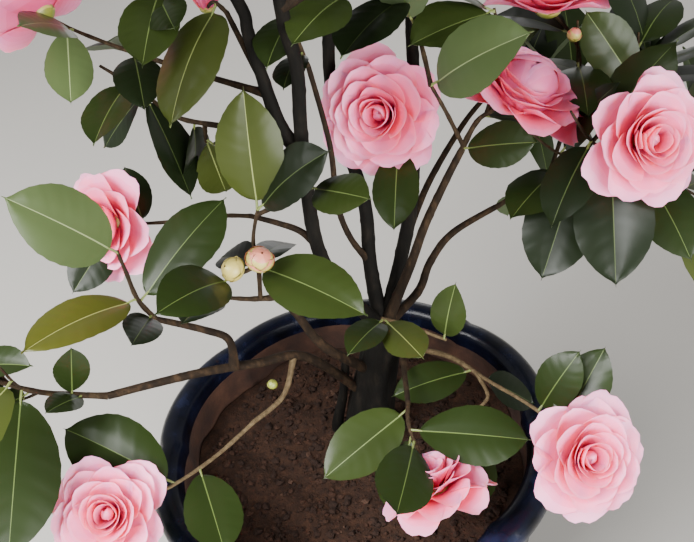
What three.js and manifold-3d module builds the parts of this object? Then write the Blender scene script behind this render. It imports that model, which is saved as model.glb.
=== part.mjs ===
// A camellia shrub in bloom, growing in a glazed garden pot.
// Millimetres, +Z up. The origin is the middle of the pot's flat underside, and the plant is seen from -Y.
import * as THREE from "three";
import { mergeVertices } from "three/addons/utils/BufferGeometryUtils.js";
import Module from "manifold-3d";

const wasm = await Module();
wasm.setup();
const { Manifold, Mesh: SolidMesh } = wasm;

// Driving dimensions
const GAP = 0.3; // between pieces that meet
const POT = { height: 300, rim: 190, wall: 14, lobes: 8, notchAt: 40, lobeDepth: 0.035, sides: 48 };
const SOIL = { top: 250, clear: 0.3, lumps: 2.6, sides: 32 };
const TRUNK = { foot: [18, 28], radius: 20, headRadius: 17, flare: 9, flareHeight: 34 };
const ROOT_RIBS = { count: 5, depth: 0.35 }; // round the flare at the trunk's foot
const SIDES = { trunk: 15, stem: 7, bough: 5, sideStem: 6, twig: 3 }; // of a limb's section
const STEM_FOOT = 4; // a limb with a thicker foot than this has a stem's section
const LEAF = { length: 88, width: 0.5, thick: 1.7, arch: 0.05, fold: 0.09, toViewer: 0.55, lean: 0.8,
  droop: 0.28, tilt: 0.4 };
const BLOOM = { radius: 46, petals: 10, back: 0.3, heart: 0.15, sink: 5 };
const TWIG = { foot: 2.1, tip: 1.3 };
const GOLDEN = 137.5; // degrees from one leaf to the next round its twig
const DEG = Math.PI / 180;

// The view that shows the plant: what is seen at a picture point, so far behind the pot's axis, has one
// place. Points in the tables below are such triples of right, down and behind.
const VIEW = { eye: [19, -516, 902], pitch: 39, roll: 8.8, focal: 838, middle: [347, 271], margin: 10 };

// Rounds of the view with open air in them: right, down and radius. A leaf set by the common rule is dropped
// if it would hang there.
const OPEN = [[15, 130, 50], [10, 262, 62], [250, 45, 32], [450, 245, 45], [630, 320, 70], [300, 440, 70],
  [612, 45, 34], [468, 424, 22], [556, 385, 18], [186, 515, 24], [60, 60, 30]];

const vec = (p) => new THREE.Vector3(...p);
const UP = vec([0, 0, 1]);

const sight = (() => {
  const [c, s] = [Math.cos(VIEW.pitch * DEG), Math.sin(VIEW.pitch * DEG)];
  const [cr, sr] = [Math.cos(VIEW.roll * DEG), Math.sin(VIEW.roll * DEG)];
  const [ahead, above, across] = [vec([0, c, -s]), vec([0, s, c]), vec([1, 0, 0])];
  return {
    eye: vec(VIEW.eye),
    ahead,
    across: across.clone().multiplyScalar(cr).addScaledVector(above, -sr),
    above: above.clone().multiplyScalar(cr).addScaledVector(across, sr),
  };
})();

// The line of sight through picture point (u, v), with a length of 1 straight ahead.
const rayThrough = (u, v) =>
  sight.ahead
    .clone()
    .addScaledVector(sight.across, (u - VIEW.middle[0]) / VIEW.focal)
    .addScaledVector(sight.above, -(v - VIEW.middle[1]) / VIEW.focal);

// The place seen at picture point (u, v), y behind the pot's axis.
const seen = ([u, v, y]) => {
  const ray = rayThrough(u, v);
  return ray.multiplyScalar((y - sight.eye.y) / ray.y).add(sight.eye);
};

// The tip of a leaf that starts at base and ends at picture point (u, v), nearer than its foot or farther.
function leafTip(base, u, v, length = LEAF.length, turn = 1) {
  const ray = rayThrough(u, v).normalize();
  const toBase = base.clone().sub(sight.eye);
  const along = toBase.dot(ray);
  const miss = toBase.lengthSq() - along * along;
  const slack = Math.sqrt(Math.max(0, length * length - miss));
  return ray.multiplyScalar(along - turn * slack).add(sight.eye);
}

// Where a place is seen, from the picture's middle: how far right and up, and how many points a mm takes.
function pictured(p) {
  const d = p.clone().sub(sight.eye);
  const scale = VIEW.focal / d.dot(sight.ahead);
  return { right: d.dot(sight.across) * scale, up: d.dot(sight.above) * scale, scale };
}

// True past the top or the side edges of the picture for a place and all that is so near to it.
function isUnseen(p, radius = 0) {
  const { right, up, scale } = pictured(p);
  const edge = VIEW.margin + radius * scale;
  return Math.abs(right) > VIEW.middle[0] + edge || up > VIEW.middle[1] + edge;
}

// True for a place that is seen in one of the open rounds.
function isInOpen(p) {
  const { right, up } = pictured(p);
  return OPEN.some(([u, v, r]) => Math.hypot(VIEW.middle[0] + right - u, VIEW.middle[1] - up - v) < r);
}

// Stems and boughs: name, what it grows from, radius at foot and tip, seen points, and the unseen rest.
const STEMS = [
  ["stem_centre", "trunk", 6.6, 3.4,
    [[386, 330, 44], [370, 262, 60], [364, 200, 80], [333, 100, 110], [328, 0, 125]],
    [[48, 146, 760], [62, 140, 850]]],
  ["stem_left", "trunk", 6.4, 3.4,
    [[380, 332, 34], [345, 292, 22], [317, 245, 14], [302, 143, 2], [297, 70, -4]],
    [[4, -12, 700], [6, -34, 790], [20, -52, 860]]],
  ["stem_right", "trunk", 6.4, 3.4,
    [[392, 326, 46], [405, 240, 62], [412, 190, 78], [415, 110, 96], [411, 0, 112]],
    [[112, 118, 770], [140, 110, 840]]],
  ["stem_far_left", "stem_left", 4.8, 3.0,
    [[302, 150, 3], [281, 127, 8], [261, 74, 16], [248, 33, 24], [237, 0, 30]],
    [[-58, 34, 770], [-90, 30, 840]]],
];
const BOUGHS = [
  ["bough_slender", "stem_centre", 2.8, 1.9,
    [[370, 262, 60], [350, 237, 56], [337, 203, 54], [330, 145, 50], [308, 66, 44]]],
  ["bough_upper_left", "stem_far_left", 2.7, 2.0, [[268, 95, 12], [240, 86, 26], [205, 76, 42]]],
  ["bough_outer_left", "stem_left", 3.2, 2.1, [[301, 141, 4], [250, 131, 25], [208, 124, 42]]],
  ["bough_crest", "stem_far_left", 2.4, 1.8,
    [[262, 78, 16], [252, 62, 22], [237, 33, 34], [227, 13, 46]]],
  ["bough_bloom_left", "stem_left", 2.8, 2.0,
    [[316, 241, 14], [300, 231, 18], [277, 223, 26], [250, 216, 34]]],
  ["bough_bud", "trunk", 5.0, 3.0, [[360, 372, 34], [326, 348, 10], [296, 313, -2], [281, 297, -6]]],
  ["bough_left_low", "trunk", 4.8, 3.1,
    [[356, 398, 32], [307, 357, 20], [258, 363, 0], [189, 375, -20], [108, 396, -34]]],
  ["bough_left_rise", "bough_left_low", 3.6, 2.3,
    [[236, 366, -8], [229, 340, -15], [205, 330, -20], [156, 319, -30]]],
  ["bough_pot_left", "bough_left_low", 2.6, 2.0, [[296, 357, 16], [284, 395, -5], [255, 421, -28]]],
  ["bough_pot_front", "trunk", 3.0, 2.1,
    [[388, 345, 40], [400, 352, 4], [405, 378, -26], [408, 402, -52]]],
  ["bough_pot_right", "trunk", 3.2, 2.1,
    [[392, 345, 42], [420, 350, 18], [448, 356, 0], [468, 367, -14]]],
  ["bough_low_centre", "trunk", 2.8, 2.0, [[386, 340, 40], [384, 328, 10], [382, 319, -16]]],
  ["bough_right", "trunk", 4.4, 2.6,
    [[394, 324, 46], [418, 292, 62], [430, 262, 72], [452, 233, 82], [496, 207, 85]]],
  ["bough_upper_right", "trunk", 5.0, 2.8,
    [[393, 325, 42], [408, 272, 34], [425, 225, 36], [446, 180, 40], [461, 151, 44]]],
  ["bough_bloom_centre", "stem_right", 2.6, 2.0, [[413, 168, 84], [404, 158, 76], [399, 148, 70]]],
  ["bough_back", "stem_right", 3.4, 2.2,
    [[405, 236, 64], [430, 180, 110], [462, 126, 150], [486, 96, 176]]],
];

// Foliage that is seen. Each shoot: what it grows from (-1 is the bough's tip, else an earlier shoot and how
// far along it), its seen points, and the leaves that stand out. Such a leaf has how far along its foot lies,
// its seen tip, its length if not the usual one, -1 if its tip points away from the viewer, and, where it
// matters, how far its upper side is turned right and up from the viewer. More leaves are then set round the
// shoot by the common rule. A bloom has its seen place and the way it faces.
const SHOOTS = {
  foliage_left_low: { bough: "bough_left_low", shoots: [
    { from: -1, points: [[45, 393, -40], [0, 382, -44], [-50, 366, -40]], more: 4,
      leaves: [[0.2, 71, 347, 54, 1, 0, 0.2], [0.15, 45, 413, 46, 1, 0, 0.8], [0.5, 8, 562, 110],
        [0.9, 33, 366, 60, 1, 0, 0.3]] },
    { from: [0, 0.6], points: [[-30, 344, -6], [-52, 310, 14]], more: 4 },
  ] },
  foliage_left_rise: { bough: "bough_left_rise", shoots: [
    { from: -1, points: [[138, 300, -35], [126, 272, -36], [117, 251, -36]],
      leaves: [[0.1, 131, 346, 56, 1, -0.5, 0.3], [0.3, 226, 197, 102, -1],
        [0.35, 21, 353, 92, 1, -0.3, 0.9], [0.95, 1, 196, 98, 1, 0, 0.15]] },
  ] },
  foliage_bloom_left: { bough: "bough_bloom_left", shoots: [
    { from: -1, points: [[216, 216, 44], [156, 223, 60]],
      bloom: { at: [102, 225, 66], face: [-0.5, -0.75, 0.45] },
      leaves: [[0.75, 124, 166, 56, -1], [0.95, 72, 294, 66, -1]] },
  ] },
  foliage_bud: { bough: "bough_bud", shoots: [
    { from: -1, points: [[250, 299, -10], [219, 297, -10]], leaves: [[0.95, 181, 324, 60]] },
    { from: [0, 0.35], points: [[258, 262, -14], [253, 240, -12], [258, 207, -8]],
      leaves: [[0.3, 368, 316, 98], [0.33, 289, 243, 60, -1], [0.33, 221, 257, 62, -1], 
        [0.96, 330, 150, 80, 1, 0, 0.3], [0.96, 243, 86, 92, 1, 0, 0.1]] },
    { from: [1, 0.3], points: [[244, 272, -22], [230, 279, -32]], leaves: [[0.96, 154, 315, 86, 1, 0, 0.5]] },
    { from: [1, 0.9], points: [[288, 200, -12], [312, 187, -14]], leaves: [[0.96, 371, 199, 66, 1, 0, 0.4]] },
  ] },
  foliage_pot_left: { bough: "bough_pot_left", shoots: [
    { from: -1, points: [[215, 457, -60], [168, 488, -94]],
      bloom: { at: [107, 514, -112], face: [0.12, -0.62, 0.78] },
      leaves: [[0.45, 226, 556, 84], [0.62, 63, 428, 106, -1, 0, 0.1]], more: 2 },
  ] },
  foliage_pot_front: { bough: "bough_pot_front", shoots: [
    { from: -1, points: [[410, 430, -80]], bloom: { at: [433, 478, -116], face: [-0.15, 0.5, 0.85] },
      leaves: [[0.2, 322, 480, 88], [0.5, 532, 440, 92, -1], [0.6, 396, 517, 70]], more: 2 },
  ] },
  foliage_pot_right: { bough: "bough_pot_right", shoots: [
    { from: -1, points: [[487, 380, -30], [541, 413, -80]],
      bloom: { at: [590, 458, -134], face: [0.2, -0.72, 0.66] },
      leaves: [[0.12, 391, 397, 74], [0.3, 534, 404, 62, -1], [0.65, 581, 350, 66], 
        [0.8, 606, 346, 66]], more: 1 },
    { from: [0, 0.2], points: [[488, 396, -44], [476, 410, -50]], more: 2 },
  ] },
  foliage_low_centre: { bough: "bough_low_centre", shoots: [
    { from: -1, points: [[404, 324, -24], [446, 340, -22]],
      leaves: [[0.05, 347, 356, 56, 1, 0, 1], [0.1, 424, 359, 62, 1, 0, 0.5], [0.96, 456, 282, 58]] },
  ] },
  foliage_crest: { bough: "bough_crest", shoots: [
    { from: -1, points: [[214, 2, 60]], bloom: { at: [205, -8, 84], face: [0.1, 0.2, 0.97] }, more: 3,
      leaves: [[0.4, 170, 128, 98]] },
  ] },
  foliage_outer_left: { bough: "bough_outer_left", shoots: [
    { from: -1, points: [[174, 116, 56], [138, 89, 76], [100, 66, 96]], more: 2,
      leaves: [[0.15, 186, 188, 76, -1, 1.5, 0], [0.6, 192, 199, 80, 1, 1.3, 0], [0.75, 93, 146, 72], 
        [0.62, 104, 148, 60, -1]] },
    { from: [0, 0.05], points: [[206, 142, 50]], more: 1, leaves: [[0.8, 226, 192, 66, -1, -0.5, 0.3]] },
  ] },
  foliage_upper_left: { bough: "bough_upper_left", shoots: [
    { from: -1, points: [[150, 58, 68], [112, 45, 92], [74, 30, 112]],
      bloom: { at: [27, -2, 116], face: [-0.55, 0.5, 0.65] },
      leaves: [[0.35, 145, 111, 66], [0.8, 71, 105, 66, 1, 0, 0.3], [0.75, 17, 26, 70, 1, 0, 0.8]], more: 2 },
    { from: [0, 0.35], points: [[156, 16, 74], [158, -30, 84]],
      more: 3, leaves: [[0.75, 142, 68, 78], [0.7, 175, 30, 60]] },
  ] },
  foliage_slender: { bough: "bough_slender", shoots: [
    { from: -1, points: [[298, 40, 44], [294, 8, 48], [300, -30, 56]], more: 4,
      leaves: [[0.2, 283, 90, 48], [0.6, 266, 70, 60]] },
    { from: [0, 0.5], points: [[318, 0, 36], [346, -6, 30]], more: 2, leaves: [[0.96, 291, 46, 76]] },
  ] },
  foliage_bloom_centre: { bough: "bough_bloom_centre", shoots: [
    { from: -1, points: [], bloom: { at: [380, 113, 72], face: [-0.4, -0.84, 0.38] }, more: 1,
      leaves: [[0.1, 394, 232, 76]] },
  ] },
  foliage_right: { bough: "bough_right", shoots: [
    { from: -1, points: [[540, 180, 70], [590, 152, 24]],
      bloom: { at: [651, 140, -36], face: [0.22, -0.84, 0.42] },
      leaves: [[0.25, 507, 216, 66, -1], [0.6, 541, 281, 92], [0.75, 600, 250, 88, -1], 
        [0.8, 616, 288, 84, -1]], more: 3 },
    { from: [0, 0.6], points: [[630, 96, 60], [652, 60, 74]],
      more: 3, leaves: [[0.6, 585, 10, 74, 1, 0, 0.2], [0.96, 617, 4, 78, -1]] },
    { from: [0, 0.4], points: [[580, 60, 96]],
      bloom: { at: [550, -12, 112], face: [0.1, 0.1, 0.99] }, more: 3 },
    { from: [0, 0.75], points: [[668, 176, 30], [720, 146, 44]], more: 6, leaves: [[0.3, 692, 262, 84]] },
  ] },
  foliage_upper_right: { bough: "bough_upper_right", shoots: [
    { from: -1, points: [[480, 118, 44]], bloom: { at: [527, 85, 36], face: [0.42, -0.2, 0.88] },
      leaves: [[0.05, 538, 142, 72, 1, 0, 0.2]], more: 2 },
    { from: [0, 0.1], points: [[446, 112, 40], [430, 84, 32]], more: 1,
      leaves: [[0.96, 534, 31, 98, 1, 0, 0.3]] },
    { from: [1, 0.95], points: [[420, 40, 60], [404, 0, 76], [398, -34, 84]],
      more: 3, leaves: [[0.7, 340, 59, 88]] },
    { from: [0, 0.6], points: [[500, 56, 74], [494, 8, 88]], more: 3, leaves: [[0.96, 408, 46, 86]] },
  ] },
  foliage_back: { bough: "bough_back", shoots: [
    { from: -1, points: [[504, 70, 190], [520, 20, 214]], more: 6 },
    { from: [0, 0.3], points: [[540, 100, 180], [584, 70, 190]], more: 6 },
  ] },
};

// The crown above the picture: boughs in rings round the stems, each with its own mass of foliage.
const CROWN = {
  middle: [28, 62],
  footNear: ["stem_centre", "stem_left", "stem_right", "stem_far_left"],
  topMasses: [["stem_centre", 128], ["stem_left", 118], ["stem_right", 118], ["stem_far_left", 116]],
  rings: [{ count: 7, from: 12, foot: 706, reach: 122, rise: 66, size: 122 }],
  footRadius: 3.4,
  tipRadius: 2.2,
  shoots: 5,
  leaves: 3,
  stemLeaves: 2,
  bloomShare: 0.36,
  lift: 0.35, // how much a mass on a bough's end heads up
  reach: 1.5, // how far a mass may spread, in its own size
  seed: 4100,
};

const SEEN_SEED = 2300;
const FUSE_TOLERANCE = 0.02;

// A number source that gives the same row of numbers from 0 to 1 for the same seed.
function dice(seed) {
  let a = seed >>> 0;
  return () => {
    a = (a + 0x6d2b79f5) >>> 0;
    let t = Math.imul(a ^ (a >>> 15), a | 1);
    t ^= t + Math.imul(t ^ (t >>> 7), t | 61);
    return ((t ^ (t >>> 14)) >>> 0) / 4294967296;
  };
}

// A smooth line through points, with so many steps from each point to the next.
function through(points, steps) {
  const line = [];
  const at = (i) => points[Math.max(0, Math.min(points.length - 1, i))];
  for (let i = 0; i < points.length - 1; i++) {
    const [p, q] = [at(i), at(i + 1)];
    const leave = q.clone().sub(at(i - 1)).multiplyScalar(0.5);
    const arrive = at(i + 2).clone().sub(p).multiplyScalar(0.5);
    for (let k = 0; k < steps; k++) {
      const t = k / steps;
      const [t2, t3] = [t * t, t * t * t];
      line.push(
        p.clone().multiplyScalar(2 * t3 - 3 * t2 + 1)
          .addScaledVector(leave, t3 - 2 * t2 + t)
          .addScaledVector(q, 3 * t2 - 2 * t3)
          .addScaledVector(arrive, t3 - t2),
      );
    }
  }
  line.push(at(points.length - 1).clone());
  return line;
}

// The place and direction at share t of a line's steps.
function along(line, t) {
  const x = Math.max(0, Math.min(line.length - 1 - 1e-6, t * (line.length - 1)));
  const i = Math.floor(x);
  const step = line[i + 1].clone().sub(line[i]);
  return { place: line[i].clone().addScaledVector(step, x - i), heading: step.normalize() };
}

// The share of the line's steps at which it comes nearest to a place.
function nearest(line, place) {
  let best = [Infinity, 0];
  for (let k = 0; k <= 200; k++) {
    const d = along(line, k / 200).place.distanceTo(place);
    if (d < best[0]) best = [d, k / 200];
  }
  return best[1];
}

// A closed solid from a geometry: its doubled corners are merged, and faces with no area are dropped.
function solidOf(geometry) {
  const bare = geometry.clone();
  for (const name of ["normal", "uv"]) bare.deleteAttribute(name);
  const merged = mergeVertices(bare, 1e-4);
  const corners = [];
  for (let i = 0; i < merged.index.count; i += 3) {
    const [a, b, c] = [0, 1, 2].map((k) => merged.index.getX(i + k));
    if (a !== b && b !== c && a !== c) corners.push(a, b, c);
  }
  const make = (triVerts) =>
    new Manifold(new SolidMesh({ numProp: 3, vertProperties: merged.attributes.position.array, triVerts }));
  const made = make(new Uint32Array(corners));
  if (made.volume() > 0) return made;
  for (let i = 0; i < corners.length; i += 3) [corners[i], corners[i + 1]] = [corners[i + 1], corners[i]];
  return make(new Uint32Array(corners));
}

// Moves each corner of a geometry to where a rule puts it.
function reshape(geometry, rule) {
  const places = geometry.attributes.position;
  for (let i = 0; i < places.count; i++) {
    const p = rule(new THREE.Vector3().fromBufferAttribute(places, i));
    places.setXYZ(i, p.x, p.y, p.z);
  }
  return geometry;
}

// The frame carried along a line without twist: at each step its heading and two square directions.
function frames(line) {
  const at = (i) => line[Math.max(0, Math.min(line.length - 1, i))];
  const heading = (i) => at(i + 1).clone().sub(at(i - 1)).normalize();
  let side = Math.abs(heading(0).z) < 0.9 ? UP.clone() : vec([1, 0, 0]);
  return line.map((place, i) => {
    const h = heading(i);
    side = side.clone().addScaledVector(h, -side.dot(h)).normalize();
    return { place, heading: h, side, other: side.clone().cross(h) };
  });
}

// A round limb carried along a line: an upright cylinder of unit size, bent so that its height follows the
// line. Its sides and both its ends lie so much further out as it is grown.
function limbSolid(line, radius, sides, grow = 0) {
  const steps = line.length - 1;
  const ribs = frames(line);
  ribs[0].place = ribs[0].place.clone().addScaledVector(ribs[0].heading, -grow);
  ribs[steps].place = ribs[steps].place.clone().addScaledVector(ribs[steps].heading, grow);
  const bent = reshape(new THREE.CylinderGeometry(1, 1, 1, sides, steps), (p) => {
    const i = Math.round((p.y + 0.5) * steps);
    const r = radius(i / steps, Math.atan2(p.z, p.x)) + grow;
    const { place, side, other } = ribs[i];
    return place.clone().addScaledVector(side, p.x * r).addScaledVector(other, p.z * r);
  });
  return solidOf(bent);
}

const taper = (foot, tip) => (t) => foot + (tip - foot) * t;
const smooth = (t) => {
  const s = Math.max(0, Math.min(1, t));
  return s * s * (3 - 2 * s);
};

// The lobes of the pot: the share of its full radius at an angle, which dips to a notch between two lobes.
function lobe(angle) {
  const turn = Math.abs(Math.sin((POT.lobes / 2) * (angle - POT.notchAt * DEG)));
  return 1 - POT.lobeDepth * (1 - Math.sqrt(turn));
}

// The inner radius of the pot's wall at a height, on a lobe's crest.
const innerRadius = (z) => 118 + 42 * Math.pow(Math.max(0, (z - 22) / 228), 0.62);

function pot() {
  const { height, rim, wall } = POT;
  const profile = [
    [0, 0], [118, 0], [122, 8], [133, 42], [154, 105], [170, 210], [172, 254], [rim, 278], [rim, 291],
    [rim - 8, height], [rim - 20, height], [rim - 27, 292], [rim - 28, 276],
    [innerRadius(150), 150], [innerRadius(60), 60], [innerRadius(24), 22], [0, 8 + wall],
  ];
  const turned = new THREE.LatheGeometry(profile.map(([r, z]) => new THREE.Vector2(r, z)), POT.sides);
  return solidOf(reshape(turned.rotateX(Math.PI / 2), (p) => {
    const k = lobe(Math.atan2(p.y, p.x)) ** smooth((p.z - 4) / 60);
    return vec([p.x * k, p.y * k, p.z]);
  }));
}

// Height of the soil's crumbly top over its level: slow waves that fade out round the stems' feet.
function soilLumps(x, y) {
  const waves = Math.sin(x / 17 + 1.3) * Math.cos(y / 14) + 0.6 * Math.sin((x + y) / 9.5);
  const clearOfFoot = smooth((Math.hypot(x - TRUNK.foot[0], y - TRUNK.foot[1]) - 48) / 40);
  return SOIL.lumps * waves * clearOfFoot;
}

function soil() {
  const radius = (z) => innerRadius(z) - SOIL.clear - 0.9;
  const profile = [
    [0, 24], [radius(26), 26], [radius(60), 60], [radius(150), 150], [radius(SOIL.top) - 0.6, SOIL.top],
    [124, SOIL.top], [92, SOIL.top], [58, SOIL.top], [0, SOIL.top],
  ];
  const turned = new THREE.LatheGeometry(profile.map(([r, z]) => new THREE.Vector2(r, z)), SOIL.sides);
  return solidOf(reshape(turned.rotateX(Math.PI / 2), (p) => {
    const k = lobe(Math.atan2(p.y, p.x)) ** smooth((p.z - 4) / 60) * 0.995;
    const onTop = p.z > SOIL.top - 1 && Math.hypot(p.x, p.y) < 130;
    return vec([p.x * k, p.y * k, p.z + (onTop ? soilLumps(p.x, p.y) : 0)]);
  }));
}

// The trunk's line, from under its flat cut at the soil up to its fork.
const trunkLine = through(
  [[18, 28, SOIL.top - 12], [19, 28, 268], [25, 31, 304], [36, 36, 346], [46, 41, 384]].map(vec),
  2,
);

// Cuts a stem off flat, just clear of the soil.
const standOnSoil = (solid) => solid.trimByPlane([0, 0, 1], SOIL.top + GAP);

// The trunk's radius: it tapers to the fork, and flares into ribs at the ground.
function trunkRadius(t, angle) {
  const height = along(trunkLine, t).place.z - SOIL.top;
  const ribs = 1 + ROOT_RIBS.depth * Math.cos(ROOT_RIBS.count * angle);
  const flare = TRUNK.flare * Math.exp(-Math.max(0, height) / TRUNK.flareHeight) * ribs;
  return TRUNK.radius + (TRUNK.headRadius - TRUNK.radius) * t + flare;
}

const trunk = (grow) => standOnSoil(limbSolid(trunkLine, trunkRadius, SIDES.trunk, grow));

// A thin second stem that rises from the soil beside the trunk and leans to it.
const sideStemLine = through(
  [vec([-14, 40, SOIL.top - 10]), vec([-13, 40, 262]), seen([343, 395, 36]), seen([346, 360, 30])],
  2,
);
const sideStem = (grow) => standOnSoil(limbSolid(sideStemLine, taper(5.4, 3.6), SIDES.sideStem, grow));

// Every limb by name: its line, its solid and the solid grown by the gap, which clears what grows from it.
const limbs = new Map();

// The largest piece of a cut solid, with any hollow inside it filled.
const mainBody = (solid) => solid.decompose().reduce((a, b) => (b.volume() > a.volume() ? b : a));

const boxesMeet = (a, b) => {
  const [p, q] = [a.boundingBox(), b.boundingBox()];
  return [0, 1, 2].every((k) => p.min[k] <= q.max[k] + GAP && q.min[k] <= p.max[k] + GAP);
};

function addLimb(name, line, make, tipRadius) {
  let solid = make(0);
  for (const { grown } of limbs.values()) {
    if (boxesMeet(solid, grown)) solid = mainBody(solid.subtract(grown));
  }
  limbs.set(name, { line, solid, grown: make(GAP), tipRadius });
}

function addBough([name, parent, foot, tip, points, rest = []]) {
  const places = [...points.map(seen), ...rest.map(vec)];
  const parentLine = limbs.get(parent).line;
  const start = along(parentLine, nearest(parentLine, places[0])).place;
  const line = through([start, ...places.slice(1)], 2);
  const sides = foot > STEM_FOOT ? SIDES.stem : SIDES.bough;
  addLimb(name, line, (grow) => limbSolid(line, taper(foot, tip), sides, grow), tip);
}

// A ring of boughs in the crown: each starts on the stem that passes nearest to its tip.
function crownRing({ count, from, foot, reach, rise, size }, masses) {
  for (let i = 0; i < count; i++) {
    const angle = (from + (360 / count) * i) * DEG;
    const out = vec([Math.cos(angle), Math.sin(angle), 0]);
    const target = vec([...CROWN.middle, foot + rise]).addScaledVector(out, reach);
    const parent = CROWN.footNear
      .map((name) => ({ name, t: nearestHeight(limbs.get(name).line, foot + 14 * (i % 3)) }))
      .map((p) => ({ ...p, place: along(limbs.get(p.name).line, p.t).place }))
      .sort((a, b) => a.place.distanceTo(target) - b.place.distanceTo(target))[0];
    const middle = parent.place.clone().lerp(target, 0.5).addScaledVector(UP, -0.1 * rise);
    const line = through([parent.place, middle, target], 3);
    const name = `bough_crown_${i + 1}`;
    const radius = taper(CROWN.footRadius, CROWN.tipRadius);
    addLimb(name, line, (grow) => limbSolid(line, radius, SIDES.bough, grow));
    const heading = out.clone().addScaledVector(UP, CROWN.lift).normalize();
    masses.push({ name: `foliage_crown_${i + 1}`, bough: name, size, heading });
  }
}

// The share of a rising line at which it passes a height.
function nearestHeight(line, z) {
  for (let k = 0; k <= 100; k++) if (along(line, k / 100).place.z >= z) return k / 100;
  return 1;
}

// A leaf: an octahedron drawn flat, with a pointed foot and tip, raised edges and an arched midrib.
function leafSolid({ base, tip, up, width }) {
  const axis = tip.clone().sub(base);
  const length = axis.length();
  const side = axis.clone().cross(up).normalize();
  const face = side.clone().cross(axis).normalize();
  const middle = base.clone().addScaledVector(axis, 0.46).addScaledVector(face, LEAF.arch * length);
  return solidOf(reshape(new THREE.OctahedronGeometry(1, 0), (p) => {
    if (p.y < -0.5) return base;
    if (p.y > 0.5) return tip;
    return middle.clone()
      .addScaledVector(side, (p.x * width) / 2)
      .addScaledVector(face, (p.z * LEAF.thick) / 2 + Math.abs(p.x) * LEAF.fold * width);
  }));
}

// A double bloom: a domed round with a scalloped edge, turned to the way it faces.
function bloomSolid({ place, face }) {
  const r = BLOOM.radius;
  const profile = [[0, -BLOOM.back], [1, 0.05], [0.66, 0.42], [0, 0.5]];
  const outline = profile.map(([out, up]) => new THREE.Vector2(out * r, up * r));
  const turned = reshape(new THREE.LatheGeometry(outline, BLOOM.petals), (p) => {
    const sector = Math.round((Math.atan2(p.x, p.z) / (2 * Math.PI)) * BLOOM.petals);
    const scallop = sector % 2 === 0 ? 1 : 0.93;
    return vec([p.x * scallop, p.y, p.z * scallop]);
  });
  const turn = new THREE.Quaternion().setFromUnitVectors(vec([0, 1, 0]), face);
  return solidOf(turned.applyQuaternion(turn).translate(place.x, place.y, place.z));
}

function twigSolid({ line, foot, tip }) {
  return limbSolid(line, taper(foot, tip), SIDES.twig);
}

// The way that the upper side of a seen leaf faces: so far right and up from the viewer, or if that isn't
// given, up and a little to the viewer, with a lean to one side.
function leafUp(base, lean, right, up) {
  if (right === undefined) {
    const way = UP.clone().addScaledVector(sight.ahead, -LEAF.toViewer);
    return way.addScaledVector(sight.across, lean).normalize();
  }
  const toViewer = sight.eye.clone().sub(base).normalize();
  return toViewer.addScaledVector(sight.across, right).addScaledVector(sight.above, up).normalize();
}

// The twigs, leaves and blooms of a mass that is seen, as its list of shoots says.
function seenFoliage({ bough, shoots }, seed) {
  const roll = dice(seed);
  const grown = { bough, twigs: [], leaves: [], blooms: [], filling: [] };
  const bearer = limbs.get(bough);
  for (const { from, points, leaves = [], more = 0, bloom } of shoots) {
    const atTip = from === -1;
    const start = atTip ? along(bearer.line, 1).place : along(grown.twigs[from[0]].line, from[1]).place;
    const ends = bloom ? [bloomFoot(bloomSeen(bloom))] : [];
    const line = through([start, ...points.map(seen), ...ends], 2);
    grown.twigs.push({ line, foot: atTip ? bearer.tipRadius : TWIG.foot, tip: TWIG.tip });
    for (const [at, u, v, length, turn, ...facing] of leaves) {
      const base = along(line, at).place;
      const tip = leafTip(base, u, v, length, turn);
      const up = leafUp(base, LEAF.lean * (roll() - 0.5), ...facing);
      grown.leaves.push({ base, tip, up, width: tip.distanceTo(base) * LEAF.width });
    }
    if (bloom) grown.blooms.push(bloomSeen(bloom));
    grown.filling.push(...leavesRound(line, more, roll));
  }
  return grown;
}

// True for a leaf that would hang between the viewer and a bloom, or stick in it.
function hidesBloom({ base, tip }, blooms) {
  const middle = base.clone().lerp(tip, 0.6);
  const toLeaf = middle.clone().sub(sight.eye);
  return blooms.some(({ place }) => {
    const toBloom = place.clone().sub(sight.eye);
    const nearer = toLeaf.length() < toBloom.length();
    const before = nearer && toLeaf.angleTo(toBloom) * toBloom.length() < BLOOM.radius;
    return before || middle.distanceTo(place) < 0.8 * BLOOM.radius;
  });
}

// Adds to a seen mass those leaves of the common rule that hide no bloom and don't hang in open air.
function fillIn(mass, blooms) {
  const fits = (leaf) =>
    !hidesBloom(leaf, blooms) && !isInOpen(leaf.tip) && !isInOpen(leaf.base.clone().lerp(leaf.tip, 0.5));
  mass.leaves.push(...mass.filling.filter(fits));
}

// A bloom that is seen: its middle lies a little behind the place that is seen at its heart.
function bloomSeen({ at, face }) {
  const way = vec(face).normalize();
  return { place: seen(at).addScaledVector(way, -BLOOM.heart * BLOOM.radius), face: way };
}

// Where the twig that bears a bloom ends, sunk in its back, and the bloom that sits so on a twig's end.
const bloomSeat = BLOOM.back * BLOOM.radius - BLOOM.sink;
const bloomFoot = ({ place, face }) => place.clone().addScaledVector(face, -bloomSeat);
const bloomAtEnd = (line, face) => ({ place: line.at(-1).clone().addScaledVector(face, bloomSeat), face });

// A direction at right angles to a rib's heading, turned round it.
const sidewaysOf = ({ side, other }, turn) =>
  side.clone().multiplyScalar(Math.cos(turn)).addScaledVector(other, Math.sin(turn));

// The direction that leaves a heading at an angle, towards a direction square to it.
const spreadFrom = (heading, sideways, angle) =>
  heading.clone().multiplyScalar(Math.cos(angle)).addScaledVector(sideways, Math.sin(angle));

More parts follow.
